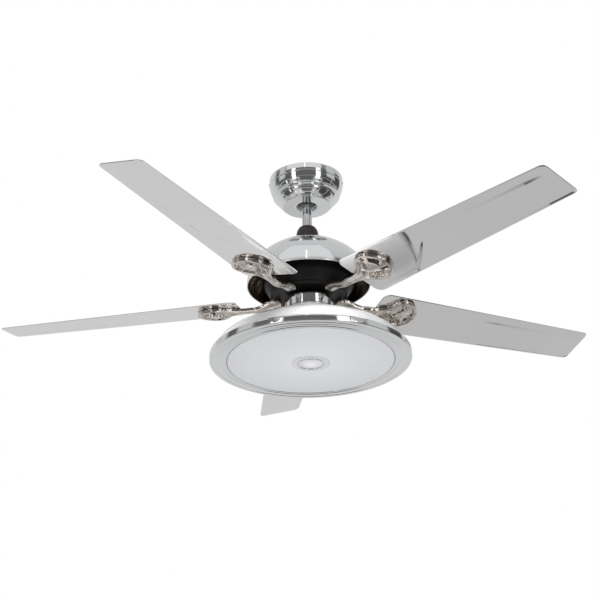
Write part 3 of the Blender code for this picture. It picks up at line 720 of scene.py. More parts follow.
def bowed(start, end, bow, count):
    """Points from start to end, bowed outwards by bow at the middle."""
    run, rise = end[0] - start[0], end[1] - start[1]
    length = hypot(run, rise)
    points = []
    for index in range(count):
        share = index / (count - 1)
        reach = bow * sin(pi * share)
        across = (-rise / length * reach, run / length * reach)
        points.append((start[0] + run * share + across[0], start[1] + rise * share + across[1]))
    return points


def ease(value, start, end):
    """Goes smoothly from 0 at start to 1 at end."""
    part = min(max((value - start) / (end - start), 0.0), 1.0)
    return part * part * (3 - 2 * part)


def blade_turn(number):
    """Turns the first direction to one blade's middle line."""
    return Matrix.Rotation(radians(FIRST_AZIMUTH) - 2 * pi * number / BLADE_COUNT, 4, "Z")


def pitched(pitch, z=BLADE_Z):
    return Matrix.Translation((0, 0, z)) @ Matrix.Rotation(-pitch, 4, "X")


def screw_shape(head, height, shank, length, recess):
    """Round-headed screw, head down, with a cross recess drawn as solid blocks that carry painted
    shade: head from z = 0 down, shank upwards.
    """
    steps = 24
    rings = [(shank, length), (shank, 0.0), (head, 0.0), (head, -0.25 * height)]
    for reach, drop in ((0.93, -0.55), (0.78, -0.80), (0.55, -0.94)):
        rings.append((head * reach, drop * height))
    shape = spun([(0.0, length)] + rings + [(0.0, -height)], steps, closed=False)
    cross = Shape()
    for turn in (0, 1):
        long, wide = head * 0.62, head * 0.13
        size = (long, wide) if turn == 0 else (wide, long)
        corners = [(x * size[0], y * size[1]) for x, y in ((-1, -1), (1, -1), (1, 1), (-1, 1))]
        low = [(x, y, -height - 0.00005) for x, y in corners]
        high = [(x * 0.9, y * 0.9, -height + recess) for x, y in corners]
        cross.add(low + high, [(0, 1, 2, 3), (4, 5, 6, 7)] + BLOCK_SIDES)
    return shape, cross


# ---------------------------------------------------------------- ceiling side
def canopy_outline():
    """Outer face of the canopy: lip, band, groove, upper tier, bead, lower tier, flat base."""
    hole = 0.0225
    lip = arc((CANOPY_RADIUS - 0.0009, CANOPY_TOP - 0.0009), 0.0009, 80, 0, 6)
    band = [(CANOPY_RADIUS, -0.0060), (CANOPY_RADIUS, -0.0120), (CANOPY_RADIUS, -0.0172)]
    groove = [(CANOPY_RADIUS - 0.0002, -0.0180), (CANOPY_RADIUS - 0.0014, -0.0186)]
    upper = bowed((0.0776, -0.0198), (0.0705, -0.0398), 0.0013, 22)
    bead = arc((0.0693, -0.0416), 0.0019, 50, -48, 10)
    fillet = bowed((0.0684, -0.0445), (0.0634, -0.0494), -0.0009, 10)
    lower = bowed((0.0632, -0.0502), (0.0512, CANOPY_BASE + 0.0018), 0.0011, 22)
    corner = arc((0.0494, CANOPY_BASE + 0.0020), 0.0020, -22, -88, 8)
    flat = [(0.0440, CANOPY_BASE), (0.0340, CANOPY_BASE), (hole + 0.0035, CANOPY_BASE)]
    flat += [(hole + 0.0012, CANOPY_BASE + 0.0001), (hole, CANOPY_BASE + 0.0008)]
    return lip + band + groove + upper + bead + fillet + lower + corner + flat


def build_canopy(sizes):
    profile = offset(canopy_outline(), sizes.sheet)
    turned("canopy_shell", profile, "chrome", "ceiling", ["canopy"])


# ---------------------------------------------------------------- rod, ball and yoke
def build_rod(sizes):
    tilt = 66.0
    ball = arc((0.0, BALL_Z), BALL_RADIUS, -tilt, tilt, 40)
    turned("hanger_ball_smooth", ball, "ball", "hanger", ["hanger_ball"], 96)
    bore = 0.0085
    edge = 0.0004
    profile = [(bore, ROD_TOP), (ROD_RADIUS - edge, ROD_TOP), (ROD_RADIUS, ROD_TOP - edge)]
    profile += [(ROD_RADIUS, ROD_BASE + edge), (ROD_RADIUS - edge, ROD_BASE), (bore, ROD_BASE)]
    turned("downrod_tube", profile, "chrome", "hanger", ["downrod"], 96)


def build_yoke_cover(sizes):
    collar = ROD_RADIUS + 0.0006
    side = COVER_RADIUS - 0.0012
    height = COVER_TOP - COVER_BASE - 0.007
    outline = [(collar, COVER_TOP), (collar + 0.0012, COVER_TOP - 0.0001)]
    for index in range(1, 24):
        angle = pi / 2 * (1 - index / 23)
        reach = collar + 0.0012 + (side - collar - 0.0012) * cos(angle) ** 0.9
        outline.append((reach, COVER_TOP - height + height * sin(angle) - 0.0002))
    outline += [(side + 0.0004, COVER_BASE + 0.0030), (COVER_RADIUS, COVER_BASE + 0.0012)]
    outline += [(COVER_RADIUS, COVER_BASE)]
    profile = offset(outline, sizes.sheet)
    turned("yoke_cover_bell", profile, "bronze", "hanger", ["yoke_cover"], 96)


# ---------------------------------------------------------------- motor
def dome_profile():
    """Outer face of the dome: flat seat and one rounded cone down to the rim."""
    seat, power = 0.024, 0.4054
    height = DOME_TOP - DOME_RIM
    points = [(0.0123, DOME_TOP), (0.0180, DOME_TOP)]
    count = 56
    for index in range(count):
        part = sin(pi / 2 * index / (count - 1))
        points.append((seat + (DOME_RADIUS - seat) * part, DOME_RIM + height * (1 - part) ** power))
    return points


def build_dome(sizes):
    outline = dome_profile()
    shell = spun(offset(outline, sizes.sheet), sizes.turned_steps)
    made = new_piece(
        "motor_dome_shell",
        shell.vertices,
        shell.faces,
        ["dome", "dome_lining"],
        "hanger",
        ["motor_dome"],
        sharp=40,
    )
    outside = (len(outline) - 1) * sizes.turned_steps
    for polygon in made.data.polygons[outside:]:
        polygon.material_index = 1
    lip = arc((DOME_RADIUS - 0.0009, DOME_RIM + 0.0003), 0.0011, 0, 342, 20)
    turned("motor_dome_lip", lip, "chrome", "hanger")


def build_motor(sizes):
    """Black top and bottom halves of the motor case, its cooling ribs and a rolled base ring."""
    bore = 0.0120
    top = rounded(
        [
            (bore, ROTOR_TOP),
            (0.0260, ROTOR_TOP),
            (0.0300, -0.1860),
            (0.0750, -0.1930),
            (0.0880, -0.2000),
            (ROTOR_RADIUS, -0.2100),
            (ROTOR_RADIUS, ROTOR_SPLIT + 0.0008),
            (ROTOR_RADIUS - 0.0008, ROTOR_SPLIT),
            (ROTOR_RADIUS - 0.0030, ROTOR_SPLIT),
        ],
        0.0035,
    )
    top += [(ROTOR_RADIUS - 0.003, -0.2112), (0.0860, -0.2032), (0.0740, -0.1962)]
    top += [(0.0300, -0.1898), (0.0240, -0.1990), (0.0200, -0.1990), (0.0200, -0.1849), (bore, -0.1849)]
    turned("motor_case_top", top, "motor", "rotor", ["rotor_top_cover"], 120)
    split = top_of("rotor_bottom_cover")
    bottom = rounded(
        [
            (ROTOR_RADIUS - 0.0030, split),
            (ROTOR_RADIUS - 0.0008, split),
            (ROTOR_RADIUS, split - 0.0008),
            (ROTOR_RADIUS, -0.2530),
            (0.0920, -0.2575),
            (0.0800, -0.2755),
            (0.0755, ROTOR_BASE),
            (0.0410, ROTOR_BASE),
            (0.0410, -0.2715),
            (bore, -0.2715),
        ],
        0.0016,
        4,
    )
    bottom += [(bore, -0.2690), (0.0198, -0.2690), (0.0198, -0.2555), (0.0238, -0.2555)]
    bottom += [(0.0238, -0.2680), (0.0445, -0.2680), (0.0445, -0.2750), (0.0740, -0.2750)]
    bottom += [(0.0775, -0.2733)]
    bottom += [(0.0892, -0.2560), (ROTOR_RADIUS - 0.003, -0.2520)]
    turned("motor_case_bottom", bottom, "motor", "rotor", ["rotor_bottom_cover"], 120)
    build_ribs()
    ring = arc((0.0790, -0.2766), 0.0011, 0, 345, 24)
    turned("motor_base_ring", ring, "motor", "rotor", steps=120)


def build_ribs():
    """Upright cooling ribs round the motor's side."""
    rib_count = 60
    half_width, depth = 0.0009, 0.0007
    low, high = -0.2515, -0.2325
    shape = Shape()
    for index in range(rib_count):
        turn = Matrix.Rotation(2 * pi * index / rib_count, 4, "Z")
        inner, outer = ROTOR_RADIUS - 0.0002, ROTOR_RADIUS + depth
        section = [(inner, -half_width), (outer, -half_width * 0.5)]
        section += [(outer, half_width * 0.5), (inner, half_width)]
        ends = [(low, low + depth), (high, high - depth)]
        vertices = []
        for base, face in ends:
            for radius, side in section:
                z = face if radius > ROTOR_RADIUS else base
                vertices.append(turn @ Vector((radius, side, z)))
        shape.add(vertices, [(0, 1, 2, 3), (7, 6, 5, 4)] + BLOCK_SIDES)
    new_piece("motor_cooling_ribs", shape.vertices, shape.faces, ["motor"], "rotor")


# ---------------------------------------------------------------- blades
ROOT_CORNER, LEAD_TIP_CORNER, TRAIL_TIP_CORNER = 0.016, 0.011, 0.010
# Shares of a blade's length that its rounded corners take up
ROOT_SHARE, TIP_SHARE = 0.034, 0.050
END_ROLL = 0.0010


def blade_limits(share):
    """Leading and trailing edge at a share of the way from root to tip, corners rounded."""
    lead = ROOT_LEAD + (TIP_LEAD - ROOT_LEAD) * share
    trail = ROOT_TRAIL + (TIP_TRAIL - ROOT_TRAIL) * share
    length = TIP_LEAD_U - ROOT_U
    from_root, from_tip = share * length, (1 - share) * length

    def inset(distance, radius):
        if distance >= radius:
            return 0.0
        return radius - sqrt(max(radius**2 - (radius - distance) ** 2, 0.0))

    lead += inset(from_root, ROOT_CORNER) + inset(from_tip, LEAD_TIP_CORNER)
    trail -= inset(from_root, ROOT_CORNER) + inset(from_tip, TRAIL_TIP_CORNER)
    return lead, trail


def blade_stations():
    """Shares along the blade, close together at the rounded corners."""
    near_count, middle_count = 24, 40
    near = [0.5 - 0.5 * cos(pi * index / near_count) for index in range(near_count + 1)]
    root = [value * ROOT_SHARE for value in near]
    tip = [1 - value * TIP_SHARE for value in near[::-1]]
    span = 1 - TIP_SHARE - ROOT_SHARE
    middle = [ROOT_SHARE + span * index / middle_count for index in range(1, middle_count)]
    return root + middle + tip


def blade_edge(half):
    """(offset from the edge, half thickness) across the sheet's rolled long edge."""
    return [
        (0.0, 0.0),
        (half * 0.15, half * 0.22),
        (half * 0.6, half * 0.42),
        (half * 1.6, half * 0.68),
        (half * 2.6, half * 0.88),
        (half * 3.6, half * 0.98),
        (half * 4.4, half),
    ]


def build_blades(sizes):
    edge = blade_edge(sizes.blade_thickness / 2)
    stations = blade_stations()
    inner_count = 9
    for number in range(BLADE_COUNT):
        place = blade_turn(number) @ pitched(sizes.blade_pitch)
        tops, bottoms, spots = [], [], []
        for share in stations:
            lead, trail = blade_limits(share)
            left = [(lead + reach, half) for reach, half in edge]
            right = [(trail - reach, half) for reach, half in edge[::-1]]
            start, end = left[-1][0], right[0][0]
            flat = edge[-1][1]
            gaps = inner_count + 1
            inner = [(start + (end - start) * index / gaps, flat) for index in range(1, gaps)]
            row = left + inner + right
            from_end = min(ease(share, 0.0, END_ROLL), ease(1 - share, 0.0, END_ROLL))
            top_row, bottom_row, spot_row = [], [], []
            for v, half in row:
                across = (v - TIP_LEAD) / (TIP_TRAIL - TIP_LEAD)
                tip_u = TIP_LEAD_U + (TIP_TRAIL_U - TIP_LEAD_U) * across
                u = ROOT_U + (tip_u - ROOT_U) * share
                height = half * (0.35 + 0.65 * from_end)
                top_row.append(Vector((u, v, height)))
                bottom_row.append(Vector((u, v, -height)))
                spot_row.append((u, v, v - lead, trail - v))
            tops.append(top_row)
            bottoms.append(bottom_row)
            spots.append(spot_row)
        add_blade(number, place, tops, bottoms, spots)


def add_blade(number, place, tops, bottoms, spots):
    """Joins the upper and lower sheets of one blade round its edge and lays its UV map along it."""
    rows, across = len(tops), len(tops[0])
    vertices, uvs, lookup = [], [], {}
    for side, sheets in (("top", tops), ("bottom", bottoms)):
        for i in range(rows):
            for j in range(across):
                if side == "bottom" and j in (0, across - 1):
                    lookup[side, i, j] = lookup["top", i, j]
                    continue
                lookup[side, i, j] = len(vertices)
                vertices.append(tuple(place @ sheets[i][j]))
                uvs.append(spots[i][j])
    faces = []
    for i in range(rows - 1):
        for j in range(across - 1):
            corners = ((i, j), (i + 1, j), (i + 1, j + 1), (i, j + 1))
            upper = [lookup[("top", *corner)] for corner in corners]
            lower = [lookup[("bottom", *corner)] for corner in corners[::-1]]
            faces += [tuple(dict.fromkeys(upper)), tuple(dict.fromkeys(lower))]
    for i in (0, rows - 1):
        for j in range(across - 1):
            corners = (("top", j), ("top", j + 1), ("bottom", j + 1), ("bottom", j))
            quad = [lookup[side, i, column] for side, column in corners]
            faces.append(tuple(dict.fromkeys(quad)))
    faces = [face for face in faces if len(face) > 2]
    name = f"blade_{number + 1}"
    made = new_piece(f"{name}_sheet", vertices, faces, ["blade"], "rotor", [name], sharp=50.0)
    along = made.data.uv_layers.new(name="along_blade")
    edges = made.data.uv_layers.new(name="from_edges")
    for loop in made.data.loops:
        spot = uvs[loop.vertex_index]
        along.data[loop.index].uv = spot[:2]
        edges.data[loop.index].uv = spot[2:]


# ---------------------------------------------------------------- blade arms
# Outline of an arm seen from above, root to paddle tip: (u, leading edge, trailing edge)
ARM_STATIONS = (
    (0.0600, -0.0130, 0.0020),
    (0.0630, -0.0165, 0.0055),
    (0.0700, -0.0185, 0.0070),
    (0.0850, -0.0190, 0.0050),
    (0.1000, -0.0190, 0.0010),
    (0.1200, -0.0195, 0.0000),
    (0.1400, -0.0200, 0.0010),
    (0.1550, -0.0225, 0.0040),
    (0.1680, -0.0300, 0.0100),
    (0.1780, -0.0440, 0.0180),
    (0.1880, -0.0560, 0.0240),
    (0.2000, -0.0605, 0.0265),
    (0.2120, -0.0585, 0.0240),
    (0.2230, -0.0515, 0.0185),
    (0.2320, -0.0400, 0.0090),
    (0.2375, -0.0270, -0.0020),
    (0.2400, -0.0190, -0.0100),
)
ARM_SLOT = ((0.1740, -0.0120), (0.2160, 0.0050))
ARM_SLOT_HALF = 0.0042
SLOT_WALL = 0.0009
FOOT_SCREWS = ((0.0690, -0.0110), (0.0690, 0.0010))

# Relief of the underside: on the strap, and how much more of it on the paddle
PADDLE_START, PADDLE_END = 0.146, 0.172
RIM_WIDTH, RIM_WIDENING = 0.0040, 0.0032
RIM_HEIGHT, RIM_GROWTH = 0.0007, 0.0021
STRAP_CROWN, STRAP_CROWN_REACH = 0.0048, 0.0095
PADDLE_SINK, PADDLE_SINK_SLOPE = 0.0026, 0.0020
PADDLE_CROWN, PADDLE_CROWN_START, PADDLE_CROWN_END = 0.0062, 0.0030, 0.0260
SLOT_RING_HEIGHT, SLOT_RING_HALF = 0.0022, 0.0020
BOSS_HEIGHT, BOSS_FLAT_RADIUS, BOSS_FOOT_RADIUS = 0.0018, 0.0050, 0.0068


def smooth_through(values, share):
    """A smooth curve through evenly numbered values (Catmull-Rom)."""
    last = len(values) - 1
    spot = min(max(share, 0.0), 1.0) * last
    index = min(int(spot), last - 1)
    t = spot - index
    a = values[max(index - 1, 0)]
    b = values[index]
    c = values[index + 1]
    d = values[min(index + 2, last)]
    square, cube = 2 * a - 5 * b + 4 * c - d, 3 * b - a - 3 * c + d
    return 0.5 * (2 * b + (c - a) * t + square * t**2 + cube * t**3)


def arm_station(share):
    return tuple(smooth_through([row[part] for row in ARM_STATIONS], share) for part in range(3))


def to_segment(point, start, end):
    """Distance of a flat point from a segment."""
    direction = Vector(end) - Vector(start)
    t = (Vector(point) - Vector(start)).dot(direction) / direction.length_squared
    return (Vector(point) - Vector(start) - direction * min(max(t, 0.0), 1.0)).length


def arm_relief(u, v, edge):
    """How far the underside stands proud of the arm's plain lower face, in metres.

    A half-round rim follows the outline, the floor inside it is sunk and crowned, a ring stands
    round the slot and a boss round each screw.
    """
    paddle = ease(u, PADDLE_START, PADDLE_END)
    rim_width = RIM_WIDTH + RIM_WIDENING * paddle
    rim = 0.0
    if edge < rim_width:
        rim = sqrt(max(1 - ((edge - rim_width / 2) / (rim_width / 2)) ** 2, 0.0))
    height = (RIM_HEIGHT + RIM_GROWTH * paddle) * rim
    height += STRAP_CROWN * (1 - paddle) * sqrt(min(edge / STRAP_CROWN_REACH, 1.0))
    height -= PADDLE_SINK * paddle * ease(edge, rim_width, rim_width + PADDLE_SINK_SLOPE)
    height += PADDLE_CROWN * paddle * ease(edge, rim_width + PADDLE_CROWN_START, PADDLE_CROWN_END)
    slot = to_segment((u, v), *ARM_SLOT)
    ring = 1 - min(abs(slot - ARM_SLOT_HALF - SLOT_RING_HALF) / SLOT_RING_HALF, 1.0)
    height += SLOT_RING_HEIGHT * sin(ring * pi / 2)
    if slot < ARM_SLOT_HALF:
        height -= (height + ARM_THICKNESS * 0.8) * ease(ARM_SLOT_HALF - slot, 0.0, SLOT_WALL)
    for place in SCREW_PLACES:
        boss = hypot(u - place[0], v - place[1])
        height += (BOSS_HEIGHT - height) * (1 - ease(boss, BOSS_FLAT_RADIUS, BOSS_FOOT_RADIUS))
    return height


def arm_point(u, v, w, pitch):
    """A point of the arm: flat under the motor, and bent and twisted to the blade's pitch."""
    foot_middle = ROTOR_BASE - CLEARANCE - ARM_THICKNESS / 2
    paddle_depth = bpy.context.scene.fan_sizes.blade_thickness / 2 + CLEARANCE + ARM_THICKNESS / 2
    drop = ease(u, 0.0760, 0.1180)
    twist = ease(u, 0.0840, 0.1430)
    z = foot_middle + (BLADE_Z - foot_middle) * drop
    return pitched(pitch * twist, z) @ Vector((u, v, w - paddle_depth * drop))


def nearest(point, spots):
    """Distance from a flat point to the nearest of some spots."""
    return min((Vector(point) - spot).length for spot in spots)


def arm_grid():
    """Rows of (u, v, distance from the outline) over the arm's plan."""
    long_count, across = 120, 44
    rows = []
    for i in range(long_count + 1):
        share = i / long_count
        u, lead, trail = arm_station(share)
        spread = [0.5 - 0.5 * cos(pi * j / across) for j in range(across + 1)]
        rows.append([(u, lead + (trail - lead) * part) for part in spread])
    outline = [row[0] for row in rows] + [row[-1] for row in rows[::-1]]
    ends = [rows[-1][j] for j in range(across + 1)] + [rows[0][j] for j in range(across + 1)]
    outline = [Vector(point) for point in outline + ends]
    graded = []
    for row in rows:
        graded.append([(u, v, nearest((u, v), outline)) for u, v in row])
    return graded


def build_arms(sizes):
    grid = arm_grid()
    half = ARM_THICKNESS / 2
    edge_round = 0.0011
    for number in range(BLADE_COUNT):
        turn = blade_turn(number)
        upper, lower = [], []
        for row in grid:
            upper_row, lower_row = [], []
            for u, v, edge in row:
                fall = edge_round * (1 - ease(edge, 0.0, edge_round * 1.5))
                relief = arm_relief(u, v, edge)
                upper_row.append(turn @ arm_point(u, v, half - fall * 0.4, sizes.blade_pitch))
                lower_row.append(turn @ arm_point(u, v, fall - half - relief, sizes.blade_pitch))
            upper.append(upper_row)
            lower.append(lower_row)
        rows, across = len(grid), len(grid[0])
        vertices = [tuple(v) for sheet in (upper, lower) for row in sheet for v in row]

        def at(side, i, j):
            return side * rows * across + i * across + j

        faces = []
        for i in range(rows - 1):
            for j in range(across - 1):
                faces.append((at(0, i, j), at(0, i + 1, j), at(0, i + 1, j + 1), at(0, i, j + 1)))
                faces.append((at(1, i, j), at(1, i, j + 1), at(1, i + 1, j + 1), at(1, i + 1, j)))
            for j in (0, across - 1):
                faces.append((at(0, i, j), at(1, i, j), at(1, i + 1, j), at(0, i + 1, j)))
        for i in (0, rows - 1):
            for j in range(across - 1):
                faces.append((at(0, i, j), at(0, i, j + 1), at(1, i, j + 1), at(1, i, j)))
        name = f"blade_arm_{number + 1}"
        looks = ["casting", "blade"]
        made = new_piece(
            f"{name}_casting", vertices, faces, looks, "rotor", [name], sharp=45.0
        )
        show_blade_through_slot(made, turn @ pitched(sizes.blade_pitch))


def show_blade_through_slot(made, place):
    """The floor of each arm's slot gets the blade's finish."""
    back = place.inverted()
    lift = -ARM_THICKNESS * 0.55
    for polygon in made.data.polygons:
        spot = back @ polygon.center
        inside = to_segment((spot.x, spot.y), *ARM_SLOT) < ARM_SLOT_HALF - SLOT_WALL
        if inside and spot.z > lift:
            polygon.material_index = 1


def build_screws(sizes):
    """Blade screws through the paddles, and two screws that hold each arm's foot to the motor."""
    boss_stand = 0.0012
    blade_screw_length, foot_screw_head, foot_screw_length = 0.0075, 0.0036, 0.004
    head_top = -(sizes.blade_thickness / 2 + CLEARANCE + ARM_THICKNESS + boss_stand)
    foot_face = ROTOR_BASE - CLEARANCE - ARM_THICKNESS
    for number in range(BLADE_COUNT):
        turn = blade_turn(number)
        for index, (u, v) in enumerate(SCREW_PLACES, 1):
            spot = turn @ pitched(sizes.blade_pitch) @ Matrix.Translation((u, v, head_top))
            name = f"blade_screw_{number + 1}_{index}"
            add_screw(f"{name}_round_head", spot, sizes.screw_head, blade_screw_length, name, index)
        for index, (u, v) in enumerate(FOOT_SCREWS, 1):
            spot = turn @ Matrix.Translation((u, v, foot_face - 0.0002))
            name = f"foot_screw_{number + 1}_{index}"
            add_screw(name, spot, foot_screw_head, foot_screw_length, None, index)


def add_screw(name, spot, head, length, node, index):
    """Adds one screw. Each one of a group stops at its own turn, as driven screws do."""
    recess, turn = 0.0009, 0.7
    shape, cross = screw_shape(head, head * 0.58, head * 0.45, length, recess)
    place = spot @ Matrix.Rotation(turn * index, 4, "Z")
    shape.moved(place)
    cross.moved(place)
    start = len(shape.faces)
    shape.add(cross.vertices, cross.faces)
    looks, nodes = ["screw", "socket"], [node] if node else ()
    made = new_piece(name, shape.vertices, shape.faces, looks, "rotor", nodes)
    # The cross blocks wear the near-black finish: painted shade for the recess.
    for polygon in made.data.polygons[start:]:
        polygon.material_index = 1


# ---------------------------------------------------------------- neck and lamp
def build_neck(sizes):
    inner = 0.0088
    flange = 0.0040
    wall = BELL_RADIUS - flange
    top, base = top_of("neck_collar"), base_of("neck_collar")
    corners = [(inner, top), (0.0345, top), (0.0380, top - 0.002), (0.0380, base), (inner, base)]
    profile = rounded(corners, 0.0012)
    turned("neck_collar_ring", profile, "motor", "hanger", ["neck_collar"], 96)
    outline = rounded(
        [
            (inner, BELL_TOP),
            (0.0290, BELL_TOP),
            (wall - 0.0055, -0.2835),
            (wall, -0.2885),
            (wall, -0.2900),
            (wall, -0.2950),
            (wall, -0.3050),
            (wall, -0.3098),
            (wall, -0.3112),
            (BELL_RADIUS - 0.0004, -0.3118),
            (BELL_RADIUS, -0.3136),
            (BELL_RADIUS, BELL_BASE),
        ],
        0.0010,
        6,
    )
    profile = offset(outline, sizes.sheet)
    turned("neck_cover_bell", profile, "chrome", "hanger", ["neck_cover"])


def build_pan(sizes):
    """White pan: flat top, then one rounded shoulder down into the rim."""
    middle, reach, height, low = 0.100, 0.1038, 0.0658, -0.4223
    top = [(0.0080, PAN_TOP), (0.0350, PAN_TOP), (0.0565, PAN_TOP)]
    shoulder = []
    for index in range(36):
        angle = radians(62 - 54 * index / 35)
        shoulder.append((middle + reach * cos(angle), low + height * sin(angle)))
    edge = [(0.2028, -0.4145), (0.2030, -0.4175)]
    outline = rounded(top + shoulder[:1], 0.004, 6)[:-1] + shoulder + edge
    profile = offset(outline, sizes.sheet)
    turned("light_pan_shell", profile, "enamel", "hanger", ["light_pan"])


def build_rim(sizes):
    """Chrome rim: rolled top edge, upright band, bevel, then stepped rings on its lower face."""
    wall = 0.0012
    outer = arc((RIM_RADIUS - 0.0008, RIM_TOP - 0.0008), 0.0008, 100, 0, 7)
    outer += [(RIM_RADIUS, RIM_TOP - 0.0040), (RIM_RADIUS, -0.4165), (RIM_RADIUS, -0.4208)]
    outer += arc((RIM_RADIUS - 0.0016, -0.4208), 0.0016, -12, -70, 6)
    face = [(0.2030, -0.4226), (0.1962, -0.4228), (0.1950, -0.4218), (0.1936, -0.4228)]
    face += [(0.1868, -0.4231), (0.1852, -0.4238), (0.1806, -0.4238), (0.1792, -0.4226)]
    face += [(0.1778, -0.4238), (0.1730, RIM_FACE), (0.1716, RIM_FACE + 0.0006)]
    face += [(0.1710, RIM_FACE + 0.0016), (0.1710, -0.4212)]
    inside = [(0.1900, -0.4212), (RIM_RADIUS - wall, -0.4200)]
    inside += [(RIM_RADIUS - wall, RIM_TOP - 0.0004)]
    profile = outer + rounded(face, 0.0005, 3) + inside
    turned("lamp_rim_ring", profile, "rim", "hanger", ["lamp_rim"], 192)


def build_lens(sizes):
    edge, flange_base, flange_top = 0.1698, -0.4208, -0.4185
    middle, hole = -0.4266, 0.0040
    rise, thickness = 0.0024, 0.0020
    outer, inner = [], []
    count = 40
    for index in range(count):
        radius = hole + (edge - 0.0012 - hole) * index / (count - 1)
        share = (radius / edge) ** 2
        outer.append((radius, middle + (rise * share**1.5)))
        inner.append((radius, middle + thickness + (rise * share**1.5)))
    rim = [(edge - 0.0004, -0.4238), (edge, -0.4232), (edge, flange_base), (0.1745, flange_base)]
    rim += [(0.1745, flange_top), (0.1680, flange_top)]
    profile = outer + rim + inner[::-1]
    turned("diffuser_lens", profile, "opal", "hanger", ["diffuser"], 192)


def build_cap(sizes):
    """Round cap that holds the lens: raised rim, shallow dish and a low dome in the middle."""
    rim = arc((CAP_RADIUS - 0.0012, -0.4273), 0.0012, 20, -140, 9)
    dish = [(0.0362, -0.4276), (0.0340, -0.4271), (0.0300, -0.4270), (0.0284, -0.4274)]
    ring = arc((0.0268, -0.4278), 0.0011, 10, -190, 11)
    dome = [(0.0246 * cos(radians(a)), -0.4274 - 0.0018 * sin(radians(a))) for a in range(0, 90, 5)]
    profile = [(0.0, -0.4268), (CAP_RADIUS - 0.0006, -0.4268)] + rim + dish + ring + dome
    profile += [(0.0, CAP_BASE)]
    node = ["diffuser_cap"]
    turned("diffuser_cap_disc", profile, "cap", "hanger", node, 120, closed=False)
    trim = arc((0.0268, -0.4278), 0.0013, 20, 340, 14)
    turned("diffuser_cap_trim", trim, "chrome", "hanger", steps=120)


# ---------------------------------------------------------------- CAD nodes that stay as they are
NODE_FINISHES = {
    "zinc": (
        "ceiling_bracket",
        "motor_yoke",
        "motor_shaft",
        "dome_locknut",
        "light_stem",
        "light_plate",
        "cap_stud",
    ),
    "screw": (
        "canopy_screw_1",
        "canopy_screw_2",
        "hanger_pin",
        "yoke_pin",
        "upper_bearing",
        "lower_bearing",
    ),
    "nylon": ("socket_liner", "terminal_block"),
    "laminated": ("stator_core", "rotor_cage_ring"),
    "copper": ("winding_upper", "winding_lower"),
    "aluminium": ("led_tray",),
    "board": ("led_board",),
    "driver": ("led_driver",),
}


def finish_nodes():
    """Gives the inner CAD nodes their node materials through their objects' material slots."""
    for look, nodes in NODE_FINISHES.items():
        for node in nodes:
            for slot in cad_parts[node].material_slots:
                slot.link = "OBJECT"
                slot.material = finish(look)


# ---------------------------------------------------------------- studio
FLOOR_Z = -2.45
CAMERA_PLACE = (0.0, -2.666, -1.5344)
CAMERA_HEADING, CAMERA_RISE, CAMERA_ROLL = radians(-0.4075), radians(25.123), radians(-1.3588)

# What polished parts mirror: (name, azimuth from the camera's side, half width, elevation, half
# height, softness, brightness), with angles in degrees. Azimuth 90 is +X, 180 is behind the fan.
# A later patch covers an earlier one.
ROOM_PATCHES = (
    ("far wall", 180, 60, 0, 80, 25, 0.68),
    ("far floor", 180, 75, -62, 32, 14, 0.56),
    ("ceiling", 0, 200, 75, 30, 20, 0.62),
    ("floor below", 0, 200, -90, 30, 4, 0.06),
    ("front wall", 0, 66, 8, 24, 4, 0.13),
    ("front wall rail", 0, 66, 17, 0.9, 0.6, 0.50),
    ("ceiling panel edge", -6, 58, 52, 25, 1.5, 0.40),
    ("ceiling panel", -6, 56, 52, 23, 1.5, 0.76),
    ("right drape", 82, 28, -22, 27, 6, 0.06),
    ("right drape rail", 82, 26, -9, 1.3, 0.8, 0.42),
    ("right drape post", 87, 1.6, -22, 24, 0.8, 0.36),
    ("left drape", -76, 22, -20, 22, 7, 0.09),
    ("left drape rail", -76, 20, -13, 1.5, 0.8, 0.50),
    ("left drape gap", -66, 2.4, -24, 9, 1.2, 1.1),
    ("right stand", 112, 14, 12, 16, 4, 0.07),
    ("left stand", -98, 9, 14, 18, 4, 0.12),
    ("camera stand", 2, 24, -24, 30, 6, 0.12),
    ("camera stand shelf", 2, 22, -33, 2.0, 1.2, 0.34),
    ("camera stand foot", 2, 26, -10, 1.2, 0.8, 0.42),
    ("left strip light", -37, 6.0, 2, 25, 1.4, 1.7),
    ("right strip light", 38, 7.0, 2, 25, 1.4, 1.8),
    ("left low strip", -46, 8.0, -52, 10, 1.8, 1.6),
    ("right low strip", 41, 9.0, -52, 10, 1.8, 1.6),
    ("middle strip light", -3, 1.2, 40, 12, 0.8, 1.5),
)
ROOM_BASE = 0.56


def room_mask(tree, angle, centre, half, softness):
    """1 within half of centre, easing to 0 over softness. Angles wrap round the circle."""
    away = math_node(tree, "ABSOLUTE", math_node(tree, "SUBTRACT", angle, centre))
    away = math_node(tree, "MINIMUM", away, math_node(tree, "SUBTRACT", 360, away))
    ranged = tree.nodes.new("ShaderNodeMapRange")
    ranged.interpolation_type = "SMOOTHSTEP"
    ranged.inputs["From Min"].default_value = half + softness
    ranged.inputs["From Max"].default_value = half - softness
    tree.links.new(away, ranged.inputs["Value"])
    return ranged.outputs["Result"]


